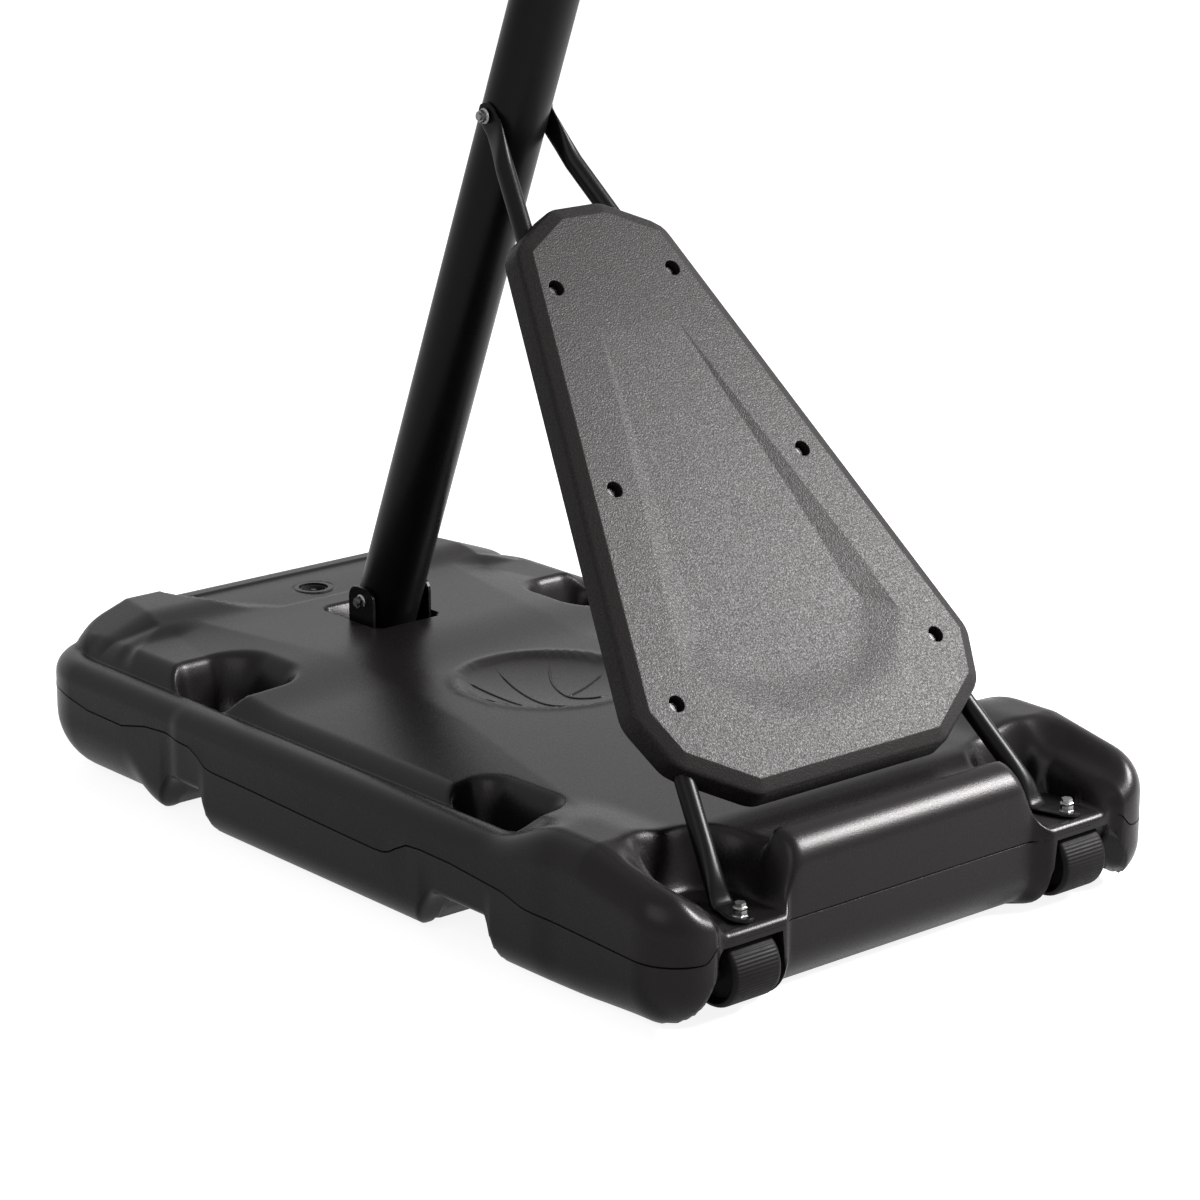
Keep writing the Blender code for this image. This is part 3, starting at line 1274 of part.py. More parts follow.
def build_rim():
    centre = ring_centre_y()
    major = RIM_INNER_RADIUS + RIM_BAR
    round_profile = []
    for index in range(8):
        angle = math.pi / 2 - index * math.pi / 4
        round_profile.append((major + RIM_BAR * math.cos(angle), RIM_BAR * math.sin(angle)))
    ring = turned("rim_ring", round_profile, ORANGE, RIM_STEPS, spot=(0, centre, RIM_Z))

    rear = BOARD_FRONT - GAP - BACK_PLATE_THICK - GAP
    front = centre + RIM_INNER_RADIUS + 0.002
    plate = box_outline(-RIM_PLATE_HALF, RIM_PLATE_HALF, front, rear, (0.002, 0.002, 0.002, 0.002), 2)
    add(ring, prism("rim_plate", plate, RIM_PLATE_UNDER, RIM_PLATE_UNDER + RIM_PLATE_THICK, helper=True))
    cheek_top = RIM_PLATE_UNDER + 0.003
    cheek = rounded([
        (hinge_y() - CHEEK_ROUND, HINGE_Z - CHEEK_ROUND),
        (hinge_y() + CHEEK_ROUND, HINGE_Z - CHEEK_ROUND),
        (hinge_y() + CHEEK_ROUND, cheek_top),
        (hinge_y() - CHEEK_REACH, cheek_top),
    ], (0.012, 0.0125, 0.001, 0.002), 5)
    for side, sign in sides():
        made = plate_across(f"hinge_cheek_{side}", cheek, sign, EAR_X + GAP, RIM_PLATE_HALF - 0.0002)
        add(ring, made)
    for side, sign in sides():
        level = RIM_PLATE_UNDER + RIM_PLATE_THICK / 2
        start = Vector((sign * RIM_ARM_X, BOARD_FRONT - RIM_ARM_AHEAD, level))
        end_x = sign * major * math.sin(RIM_ARM_ANGLE)
        end = Vector((end_x, centre + major * math.cos(RIM_ARM_ANGLE), RIM_Z - 0.001))
        run = end - start
        spin = run.to_track_quat("Z", "X").to_euler()
        add(ring, helper_rod(f"rim_arm_{side}", RIM_ARM_RADIUS, 0, run.length, 10, spot=start, turn=spin))
    for index in range(PEG_COUNT):
        angle = peg_angle(index)
        spot = (major * math.cos(angle), centre + major * math.sin(angle), RIM_Z)
        low = -RIM_BAR - PEG_LENGTH + 0.004
        add(ring, helper_rod(f"net_peg_{index + 1}", PEG_RADIUS, low, -0.004, 6, spot=spot))
    cut(ring, cross_hole("cheek_pin_hole", HINGE_PIN_RADIUS, (0, hinge_y(), HINGE_Z)))

    end = RIM_PLATE_HALF + 0.004
    head = HINGE_PIN_RADIUS + 0.003
    pin = [
        (0, end + 0.004),
        (head - 0.001, end + 0.004),
        (head, end + 0.003),
        (head, RIM_PLATE_HALF + GAP),
        (HINGE_PIN_RADIUS, RIM_PLATE_HALF + GAP),
        (HINGE_PIN_RADIUS, -end),
        (0, -end),
    ]
    turned("rim_pin", pin, ZINC, 20, spot=(0, hinge_y(), HINGE_Z), turn=ALONG_X)
    for side, sign in sides():
        seat = BOARD_FRONT - BACK_PLATE_THICK - 2 * GAP
        length = BACK_PLATE_THICK + SHEET_THICK + TUBE_SIDE + CHANNEL_WALL + 4 * GAP + 0.004
        bolt(f"rim_bolt_{side}", length, RIM_BOLT_RADIUS, 0.0075, 0.0055,
             spot=(sign * RIM_BOLT_X, seat, LOW_RAIL_Z), turn=FACING_FRONT)


def peg_angle(index):
    return (index + 0.5) * 2 * math.pi / PEG_COUNT


def build_spring():
    """Upright coil between the bracket's shelf and the rim plate's underside, its end turns flattened."""
    low = SHELF_TOP + GAP + SPRING_WIRE
    high = RIM_PLATE_UNDER - GAP - SPRING_WIRE
    per_turn = 8
    points = []
    count = per_turn * SPRING_TURNS
    for index in range(count + 1):
        turn_share = index / per_turn
        share = min(max((turn_share - 0.6) / (SPRING_TURNS - 1.2), 0.0), 1.0)
        angle = 2 * math.pi * turn_share
        level = low + (high - low) * share
        points.append((SPRING_RADIUS * math.cos(angle), SPRING_RADIUS * math.sin(angle), level))
    curve = bpy.data.curves.new("rim_spring", "CURVE")
    curve.dimensions = "3D"
    line = curve.splines.new("POLY")
    line.points.add(len(points) - 1)
    for point, spot in zip(line.points, points):
        point.co = (*spot, 1.0)
    curve.bevel_depth = SPRING_WIRE
    curve.bevel_resolution = 1
    curve.use_fill_caps = True
    spring = bpy.data.objects.new("rim_spring", curve)
    curve.materials.append(SPRING_STEEL)
    PARTS.objects.link(spring)
    spring.location = (0, BOARD_FRONT - SPRING_AHEAD, 0)


def build_net():
    """Diamond lattice that hangs from the pegs and narrows towards its open foot."""
    centre = ring_centre_y()
    major = RIM_INNER_RADIUS + RIM_BAR
    top_radius = major - PEG_RADIUS - GAP - NET_CORD * 0.44
    top = RIM_Z - NET_TOP_DROP
    shape = bmesh.new()
    rows = []
    levels = NET_ROWS + 1
    for level in range(levels + 1):
        share = level / levels
        radius = NET_LOW_RADIUS + (top_radius - NET_LOW_RADIUS) * (1 - math.sin(share * math.pi / 2))
        row = []
        for index in range(PEG_COUNT):
            angle = peg_angle(index) + (level % 2) * math.pi / PEG_COUNT
            across = radius * math.cos(angle)
            row.append(shape.verts.new((across, radius * math.sin(angle), -NET_LENGTH * share)))
        rows.append(row)
    for level in range(levels - 1):
        for index in range(PEG_COUNT):
            step = level % 2
            left = rows[level + 1][(index - 1 + step) % PEG_COUNT]
            right = rows[level + 1][(index + step) % PEG_COUNT]
            shape.faces.new((rows[level][index], left, rows[level + 2][index], right))
    net = place("net", mesh_from("net", shape), NYLON, spot=(0, centre, top))
    cords = net.modifiers.new("cords", "WIREFRAME")
    cords.thickness = NET_CORD
    cords.use_even_offset = True
    cords.use_boundary = True
    cords.use_replace = True
    cords.offset = 0.0


build_tank()
build_filler()
build_wheels()
build_pole()
build_knob()
build_foot()
build_struts()
build_shield()
build_board()
build_arms()
build_rim_bracket()
build_rim()
build_spring()
build_net()
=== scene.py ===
"""Looks of the freestanding basketball hoop: fine moulded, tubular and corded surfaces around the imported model."""

from __future__ import annotations

import logging
import math
from dataclasses import dataclass, field
from enum import Enum
from typing import Callable, Sequence

import bpy
import numpy as np
from mathutils import Matrix, Vector

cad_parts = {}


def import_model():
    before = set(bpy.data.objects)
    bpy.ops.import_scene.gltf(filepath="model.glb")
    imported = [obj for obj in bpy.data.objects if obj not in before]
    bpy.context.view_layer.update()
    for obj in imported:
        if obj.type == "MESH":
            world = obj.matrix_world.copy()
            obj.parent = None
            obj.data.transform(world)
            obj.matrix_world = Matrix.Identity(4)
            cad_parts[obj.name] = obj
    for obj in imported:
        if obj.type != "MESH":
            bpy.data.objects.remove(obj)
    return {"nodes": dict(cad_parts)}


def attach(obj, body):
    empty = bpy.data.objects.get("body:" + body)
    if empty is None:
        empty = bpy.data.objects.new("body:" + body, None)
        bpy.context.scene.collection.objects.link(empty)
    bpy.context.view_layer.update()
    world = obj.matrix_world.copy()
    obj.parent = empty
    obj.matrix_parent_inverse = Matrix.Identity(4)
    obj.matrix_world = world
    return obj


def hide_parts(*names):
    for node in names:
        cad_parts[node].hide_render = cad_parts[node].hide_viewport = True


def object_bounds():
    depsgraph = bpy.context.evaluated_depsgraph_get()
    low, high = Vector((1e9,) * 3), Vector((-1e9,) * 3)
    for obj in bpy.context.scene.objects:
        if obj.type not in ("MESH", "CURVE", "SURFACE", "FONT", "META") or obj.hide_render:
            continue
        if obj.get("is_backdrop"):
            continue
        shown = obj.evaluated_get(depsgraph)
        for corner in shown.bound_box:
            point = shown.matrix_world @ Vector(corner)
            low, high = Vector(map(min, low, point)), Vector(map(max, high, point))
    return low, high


LOG = logging.getLogger("hoop")
LEAN = math.radians(21.65)
POLE_FOOT = np.array((0.0, 0.400, 0.2267))
POLE_RUN = np.array((0.0, -math.sin(LEAN), math.cos(LEAN)))
X_AXIS = np.array((1.0, 0.0, 0.0))
UP = np.array((0.0, 0.0, 1.0))

Array = np.ndarray
Pair = tuple[float, float]
Pairs = tuple[Pair, ...]
Spot = tuple[float, float, float]
Socket = bpy.types.NodeSocket


class Slot(Enum):
    """The record's material slots, and one more for the shield's screws, darkened to paint the shade inside their
    cups.
    """

    MOULDED = "moulded_black"
    PANEL = "grained_panel"
    STEEL = "black_steel"
    ZINC = "zinc_plate"
    TREAD = "wheel_plastic"
    GRIP = "knob_plastic"
    CLEAR = "clear_sheet"
    ORANGE = "orange_paint"
    SPRING = "spring_steel"
    NYLON = "white_nylon"
    # Shield screws: a dark grey that paints the shade in their cups, not their own zinc colour.
    SCREW = "cup_shade_screw"


class Body(Enum):
    """The moving groups a piece can ride on."""

    STAND = "stand"
    WHEEL_LEFT = "wheel_left"
    WHEEL_RIGHT = "wheel_right"
    UPPER = "upper_pole"
    RIM = "rim"


class Nodes:
    """A shader tree filled in short calls: a plain value sets an input, and an output socket is linked to it."""

    def __init__(self, owner: bpy.types.Material | bpy.types.World) -> None:
        """Turns on the owner's nodes."""
        owner.use_nodes = True
        self.tree = owner.node_tree

    def fill(self, node: bpy.types.Node, inputs: dict) -> bpy.types.Node:
        """Sets or links a node's inputs.

        Args:
            node: The node.
            inputs: A value or an output socket for each input's name or number.

        Returns:
            The same node.
        """
        for key, value in inputs.items():
            if isinstance(value, Socket):
                self.tree.links.new(value, node.inputs[key])
            else:
                node.inputs[key].default_value = value
        return node

    def add(self, kind: str, inputs: dict, output: str | int = 0, **settings: str) -> Socket:
        """Adds a node.

        Args:
            kind: Its type, less the word ShaderNode.
            inputs: What its inputs hold.
            output: Which output is wanted.
            settings: Its settings, such as operation.

        Returns:
            The output socket.
        """
        node = self.tree.nodes.new("ShaderNode" + kind)
        for key, value in settings.items():
            setattr(node, key, value)
        return self.fill(node, inputs).outputs[output]

    def calc(self, operation: str, first: Socket, second: Socket | float = 0.0) -> Socket:
        """Result of one Math node."""
        return self.add("Math", {0: first, 1: second}, operation=operation)

    def noise(self, where: Socket, scale: float, detail: float = 2.0) -> Socket:
        """Noise at a scale, about 0.3 to 0.7."""
        return self.add("TexNoise", {"Vector": where, "Scale": scale, "Detail": detail}, "Fac")

    def bump(self, height: Socket, depth: float, under: Socket | None = None) -> Socket:
        """Normal of a relief of a depth in metres, alone or over another relief."""
        over = {} if under is None else {"Normal": under}
        return self.add("Bump", {"Strength": 1.0, "Distance": depth, "Height": height, **over}, "Normal")


@dataclass(frozen=True)
class Finish:
    """One procedural surface: a base colour broken up by noise, grain in the relief, and uneven gloss.

    Noise of 0.3 to 0.7 takes the colour's factor from 1 + mottle to 1 - mottle, and a finer noise does so with
    speckle; the relief is a fine grain with a broad waviness under it; the roughness runs over a range of spread.
    """

    slot: Slot
    colour: Spot
    roughness: float
    metallic: float = 0.0
    mottle: float = 0.10
    mottle_scale: float = 9.0
    grain_scale: float = 900.0
    grain_depth: float = 0.00008
    wave_scale: float = 14.0
    wave_depth: float = 0.0
    spread: float = 0.10
    speckle: float = 0.0
    speckle_scale: float = 700.0
    coat: float = 0.0
    index: float = 1.45
    gloss_tint: Spot = (1.0, 1.0, 1.0)

    def build(self) -> bpy.types.Material:
        """Makes the material.

        Returns:
            The node material, which reads Object coordinates only.
        """
        made = bpy.data.materials.new(self.slot.value)
        nodes = Nodes(made)
        where = nodes.add("TexCoord", {}, "Object")
        broad = nodes.noise(where, self.mottle_scale, 5.0)
        speck = nodes.noise(where, self.speckle_scale, 1.0)
        shade = nodes.calc("MULTIPLY", self._around(nodes, broad, 1.0, -self.mottle),
                           self._around(nodes, speck, 1.0, -self.speckle))
        tint = nodes.add("VectorMath", {0: self.colour, "Scale": shade}, "Vector", operation="SCALE")
        bump = nodes.bump(nodes.noise(where, self.grain_scale), self.grain_depth)
        if self.wave_depth:
            bump = nodes.bump(nodes.noise(where, self.wave_scale), self.wave_depth, bump)
        gloss = self._around(nodes, speck if self.speckle else broad, self.roughness, self.spread / 2)
        nodes.fill(made.node_tree.nodes["Principled BSDF"], {
            "Base Color": tint, "Roughness": gloss, "Metallic": self.metallic, "IOR": self.index, "Normal": bump,
            "Specular Tint": (*self.gloss_tint, 1.0), "Coat Weight": self.coat, "Coat Roughness": 0.15})
        return made

    @staticmethod
    def _around(nodes: Nodes, noise: Socket, middle: float, reach: float) -> Socket:
        """Spreads noise of 0.3 to 0.7 over middle - reach to middle + reach."""
        return nodes.add("MapRange", {"Value": noise, "From Min": 0.3, "From Max": 0.7, "To Min": middle - reach,
                                      "To Max": middle + reach}, "Result")


@dataclass(frozen=True)
class ClearSheet:
    """Clear board sheet with painted lines: a border, and a target square above the rim.

    With d = max(|x| - half_width, |z - middle| - half_height) the distance out from a rectangle's edge, a point is
    painted where d > -border on the sheet's own rectangle, or where -line < d < 0 on the target's.
    """

    half_width: float = 0.685
    low: float = 2.140
    high: float = 2.980
    border: float = 0.045
    target_half: float = 0.295
    target_low: float = 2.335
    target_high: float = 2.785
    line: float = 0.050

    def build(self) -> bpy.types.Material:
        """Makes the sheet's material.

        Returns:
            A mix of a near-clear surface and white paint, masked in Object coordinates.
        """
        made = bpy.data.materials.new(Slot.CLEAR.value)
        nodes = Nodes(made)
        parts = made.node_tree.nodes
        where = nodes.add("TexCoord", {}, "Object")
        axes = nodes.add("SeparateXYZ", {0: where}).node.outputs
        clear = nodes.fill(parts["Principled BSDF"], {
            "Base Color": (0.80, 0.88, 0.90, 1.0), "Roughness": 0.06, "Transmission Weight": 1.0, "IOR": 1.05})
        paint = nodes.add("BsdfPrincipled", {
            "Base Color": (0.78, 0.78, 0.77, 1.0), "Roughness": 0.42,
            "Normal": nodes.bump(nodes.noise(where, 260.0), 0.00004)})
        edge = self._frame(nodes, axes, self.half_width, self.low, self.high)
        inner = self._frame(nodes, axes, self.target_half, self.target_low, self.target_high)
        square = nodes.calc("MULTIPLY", nodes.calc("LESS_THAN", inner, 0.0),
                            nodes.calc("GREATER_THAN", inner, -self.line))
        mask = nodes.calc("MAXIMUM", nodes.calc("GREATER_THAN", edge, -self.border), square)
        mixed = nodes.add("MixShader", {0: mask, 1: clear.outputs[0], 2: paint})
        nodes.fill(parts["Material Output"], {"Surface": mixed})
        return made

    @staticmethod
    def _frame(nodes: Nodes, axes: bpy.types.bpy_prop_collection, half_width: float, low: float,
               high: float) -> Socket:
        """Distance out from an upright rectangle's edge, negative inside.

        Args:
            nodes: The tree.
            axes: The place's X, Y and Z.
            half_width: Half its width.
            low: Its lower edge.
            high: Its upper edge.

        Returns:
            The larger of the distances across and up.
        """
        across = nodes.calc("SUBTRACT", nodes.calc("ABSOLUTE", axes["X"]), half_width)
        up = nodes.calc("ABSOLUTE", nodes.calc("SUBTRACT", axes["Z"], (low + high) / 2))
        return nodes.calc("MAXIMUM", across, nodes.calc("SUBTRACT", up, (high - low) / 2))


class Palette:
    """Every finish of the object, built once and handed out by slot."""

    FINISHES = (
        Finish(Slot.MOULDED, (0.0052, 0.0046, 0.0044), 0.30, mottle=0.05, grain_scale=600.0, grain_depth=0.00014,
               wave_depth=0.0003, wave_scale=9.0, index=1.25, speckle=0.20, speckle_scale=480.0, spread=0.07,
               gloss_tint=(1.0, 0.955, 0.95)),
        Finish(Slot.PANEL, (0.0085, 0.0078, 0.0074), 0.42, mottle=0.05, grain_scale=480.0, grain_depth=0.00045,
               speckle=0.60, speckle_scale=420.0, index=1.22, spread=0.22, gloss_tint=(1.0, 0.965, 0.955)),
        Finish(Slot.STEEL, (0.0036, 0.0036, 0.0038), 0.30, mottle=0.04, grain_scale=1500.0, grain_depth=0.00004,
               index=1.20),
        Finish(Slot.ZINC, (0.24, 0.24, 0.235), 0.32, metallic=1.0, mottle=0.10, grain_scale=1200.0),
        Finish(Slot.TREAD, (0.0065, 0.0060, 0.0056), 0.50, mottle=0.16, mottle_scale=60.0, grain_depth=0.00010,
               index=1.16),
        Finish(Slot.GRIP, (0.010, 0.010, 0.0105), 0.40, mottle=0.06, grain_scale=700.0, grain_depth=0.00010,
               index=1.30),
        Finish(Slot.ORANGE, (0.62, 0.085, 0.012), 0.33, mottle=0.06, grain_scale=1400.0, coat=0.3),
        Finish(Slot.SPRING, (0.33, 0.33, 0.34), 0.30, metallic=1.0, mottle=0.12, grain_scale=1100.0),
        Finish(Slot.NYLON, (0.74, 0.74, 0.71), 0.82, mottle=0.10, mottle_scale=40.0, grain_depth=0.00020),
        # Painted shade: the shield's screws get a dark grey for the shade inside their cups, darker than their real
        # zinc.
        Finish(Slot.SCREW, (0.050, 0.050, 0.049), 0.36, mottle=0.08, grain_scale=1200.0, index=1.40),
    )

    def __init__(self) -> None:
        """Builds the finishes."""
        self._made = {finish.slot: finish.build() for finish in self.FINISHES}
        self._made[Slot.CLEAR] = ClearSheet().build()

    def material(self, slot: Slot) -> bpy.types.Material:
        """The finish of a slot."""
        return self._made[slot]

    def coat(self, item: bpy.types.Object, slot: Slot) -> None:
        """Gives a piece its finish.

        Args:
            item: The mesh object.
            slot: Which of the record's slots it takes.
        """
        item.data.materials.clear()
        item.data.materials.append(self._made[slot])


def smooth(low: float, high: float, value: Array) -> Array:
    """Smootherstep 6t^5 - 15t^4 + 10t^3 of t = (value - low) / (high - low), held to 0..1.

    Args:
        low: Value where the result is 0.
        high: Value where the result is 1.
        value: Where to take it.

    Returns:
        The weights, in the shape of value.
    """
    t = np.clip((value - low) / (high - low), 0.0, 1.0)
    return t * t * t * (t * (6.0 * t - 15.0) + 10.0)


def bulge(distance: Array, width: float) -> Array:
    """Rounded shoulder, the root of 1 - (1 - t)^2 with t = distance / width: upright at 0 and level at width.

    Args:
        distance: Distance in from the edge.
        width: Over how far the shoulder turns level.

    Returns:
        Height share from 0 to 1.
    """
    t = np.clip(distance / width, 0.0, 1.0)
    return np.sqrt(1.0 - (1.0 - t) ** 2)


def graded(knots: Sequence[Pair], start: float, stop: float, multiple: int) -> Array:
    """Line positions whose spacing follows given values: equal steps of the integral of 1 / spacing.

    Args:
        knots: (position, spacing) pairs in rising order, joined by straight lines.
        start: First position.
        stop: Last position.
        multiple: The number of steps is rounded up to a multiple of this.

    Returns:
        Rising positions from start to stop.
    """
    fine = np.linspace(start, stop, 4001)
    at, spacing = np.array(knots, float).T
    density = 1.0 / np.interp(fine, at, spacing)
    total = np.concatenate(([0.0], np.cumsum((density[1:] + density[:-1]) / 2 * np.diff(fine))))
    count = int(math.ceil(total[-1] / multiple)) * multiple
    return np.interp(np.linspace(0.0, total[-1], count + 1), total, fine)


def quads(rows: Array, wrap: bool) -> Array:
    """Faces between neighbouring rows of point numbers.

    Args:
        rows: Array of point numbers, one row per ring.
        wrap: True where each ring closes on itself.

    Returns:
        (n, 4) point numbers.
    """
    after = np.roll(rows, -1, axis=1) if wrap else rows[:, 1:]
    here = rows if wrap else rows[:, :-1]
    return np.stack([here[:-1], after[:-1], after[1:], here[1:]], axis=-1).reshape(-1, 4)


def border_of(grid: Array) -> Array:
    """Entries round the border of a grid in order, each once."""
    return np.concatenate([grid[0, :-1], grid[:-1, -1], grid[-1, :0:-1], grid[:0:-1, 0]])


def line_at(pairs: Pairs, at: Array, swap: bool = False) -> Array:
    """Value on the straight lines that join pairs of (place, value).

    Args:
        pairs: The pairs, their places rising.
        at: Where to take the value.
        swap: True where each pair has its value first.

    Returns:
        The values.
    """
    place, value = np.array(pairs).T[:: -1 if swap else 1]
    return np.interp(at, place, value)


class Skin:
    """Collects points and faces of one closed piece, then makes its mesh."""

    def __init__(self) -> None:
        """Starts empty."""
        self.points: list[Array] = []
        self.faces: list[Array] = []
        self.count = 0

    def add(self, points: Array) -> Array:
        """Adds points.

        Args:
            points: (..., 3) positions.

        Returns:
            Their numbers, in the same leading shape.
        """
        flat = np.asarray(points, float).reshape(-1, 3)
        numbers = np.arange(self.count, self.count + len(flat)).reshape(np.shape(points)[:-1])
        self.points.append(flat)
        self.count += len(flat)
        return numbers

    def rings(self, points: Array, loop: bool = False) -> None:
        """Skin over rings of equal length; the ends close on their middles, or the last ring joins the first.

        Args:
            points: (rings, around, 3) positions.
            loop: True to join the last ring to the first, False to close both ends with a fan.
        """
        rows = self.add(points)
        if loop:
            self.faces.append(quads(np.vstack([rows, rows[:1]]), True))
            return
        self.faces.append(quads(rows, True))
        for end in (0, -1):
            ring, after = rows[end], np.roll(rows[end], -1)
            middle = np.full_like(ring, self.add(points[end].mean(axis=0)[None])[0])
            self.faces.append(np.stack([ring, after, middle] if end else [after, ring, middle], axis=-1))

    def mesh(self, name: str, sharp: float) -> bpy.types.Mesh:
        """Makes the mesh, outward-facing and smooth-shaded.

        Args:
            name: Its name.
            sharp: Edges steeper than this many degrees stay crisp.

        Returns:
            The mesh.
        """
        mesh = bpy.data.meshes.new(name)
        faces = [face for block in self.faces for face in block.tolist()]
        mesh.from_pydata(np.concatenate(self.points).tolist(), [], faces)
        mesh.validate()
        if signed_volume(mesh) < 0:
            mesh.flip_normals()
        mesh.shade_smooth()
        mesh.set_sharp_from_angle(angle=math.radians(sharp))
        return mesh


@dataclass
class Piece:
    """A dressed piece, which takes its finish from the palette and rides on a moving group."""

    palette: Palette

    def show(self, skin: Skin, name: str, slot: Slot, nodes: Sequence[str], sharp: float,
             body: Body = Body.STAND) -> bpy.types.Object:
        """Puts a skin in the scene.

        Args:
            skin: Its points and faces.
            name: Object name.
            slot: Its finish.
            nodes: CAD nodes it stands for.
            sharp: Edges steeper than this many degrees stay crisp.
            body: Moving group it rides on.

        Returns:
            The object.
        """
        item = bpy.data.objects.new(name, skin.mesh(name, sharp))
        bpy.context.scene.collection.objects.link(item)
        self.palette.coat(item, slot)
        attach(item, body.value)
        if nodes:
            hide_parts(*nodes)
        LOG.info("%s: %d faces, finish %s, rides on %s", name, len(item.data.polygons), slot.value, body.value)
        return item


def signed_volume(mesh: bpy.types.Mesh) -> float:
    """Sum of the tetrahedra between the origin and each triangle, which is negative if the skin is inside out.

    Args:
        mesh: A closed mesh.

    Returns:
        Volume in cubic metres.
    """
    mesh.calc_loop_triangles()
    points = np.empty(len(mesh.vertices) * 3)
    mesh.vertices.foreach_get("co", points)
    corners = np.empty(len(mesh.loop_triangles) * 3, np.int32)
    mesh.loop_triangles.foreach_get("vertices", corners)
    a, b, c = points.reshape(-1, 3)[corners.reshape(-1, 3)].transpose(1, 0, 2)
    return float(np.einsum("ij,ij->i", a, np.cross(b, c)).sum() / 6.0)


def revolve(profile: Sequence[Pair], centre: Array, axis: Array, count: int) -> Array:
    """Rings of a turned form: each (radius, height) pair becomes a circle about the axis at that height.

    Args:
        profile: (radius, height) pairs.
        centre: Point on the axis at height 0.
        axis: Unit axis.
        count: Points round each ring.

    Returns:
        (pairs, count, 3) positions.
    """
    first = np.cross(axis, X_AXIS if abs(axis[0]) < 0.9 else np.array((0.0, 1.0, 0.0)))
    first = first / np.linalg.norm(first)
    second = np.cross(axis, first)
    angle = np.arange(count) * 2 * np.pi / count
    radius, height = np.array(profile, float).T
    spoke = np.cos(angle)[:, None] * first + np.sin(angle)[:, None] * second
    return centre + height[:, None, None] * axis + radius[:, None, None] * spoke[None]


def sweep(path: Array, radius: Array, count: int) -> Array:
    """Round section carried along a path: ring i is path_i + r_i (cos a U_i + sin a V_i), U and V square to the path.

    Args:
        path: (n, 3) positions.
        radius: One radius per point.
        count: Points round the section.

    Returns:
        (n, count, 3) positions.
    """
    tangent = np.gradient(path, axis=0)
    tangent /= np.linalg.norm(tangent, axis=1, keepdims=True)
    helper = np.tile(np.array((0.13, 0.21, 0.97)), (len(path), 1))
    first = np.cross(tangent, helper)
    first /= np.linalg.norm(first, axis=1, keepdims=True)
    second = np.cross(tangent, first)
    angle = np.arange(count) * 2 * np.pi / count
    spoke = np.cos(angle)[None, :, None] * first[:, None] + np.sin(angle)[None, :, None] * second[:, None]
    return path[:, None] + radius[:, None, None] * spoke


@dataclass(frozen=True)
class Rounded:
    """Signed distance, inward positive, to a box with its own radius at each corner.

    With q the offset from the corner's arc centre, the distance is r - |q| beyond the centre in both directions
    and the smaller of the two plain distances elsewhere.
    """

    x: Pair
    y: Pair
    radii: tuple[float, float, float, float]

    def __call__(self, x: Array, y: Array) -> Array:
        """Distance at places.

        Args:
            x: Across.
            y: Along.

        Returns:
            Distance in metres.
        """
        middle_x = sum(self.x) / 2
        middle_y = sum(self.y) / 2
        low = np.where(x < middle_x, self.radii[0], self.radii[1])
        high = np.where(x < middle_x, self.radii[3], self.radii[2])
        radius = np.where(y < middle_y, low, high)
        across = np.where(x < middle_x, x - self.x[0], self.x[1] - x)
        along = np.where(y < middle_y, y - self.y[0], self.y[1] - y)
        corner = (across < radius) & (along < radius)
        arc = radius - np.hypot(radius - across, radius - along)
        return np.where(corner, arc, np.minimum(across, along))


def convex(corners: Pairs, x: Array, y: Array) -> Array:
    """Signed distance, inward positive, to a convex outline: the least of the distances to its edges' lines.

    Args:
        corners: The outline, counter-clockwise.
        x: Across.
        y: Along.

    Returns:
        Distance in metres.
    """
    start = np.array(corners, float)
    edge = np.roll(start, -1, axis=0) - start
    inward = np.stack([-edge[:, 1], edge[:, 0]], axis=1) / np.linalg.norm(edge, axis=1, keepdims=True)
    return np.minimum.reduce([(x - p[0]) * n[0] + (y - p[1]) * n[1] for p, n in zip(start, inward)])


def blend(first: Array, second: Array | float, share: Array) -> Array:
    """first * (1 - share) + second * share."""
    return first * (1.0 - share) + second * share


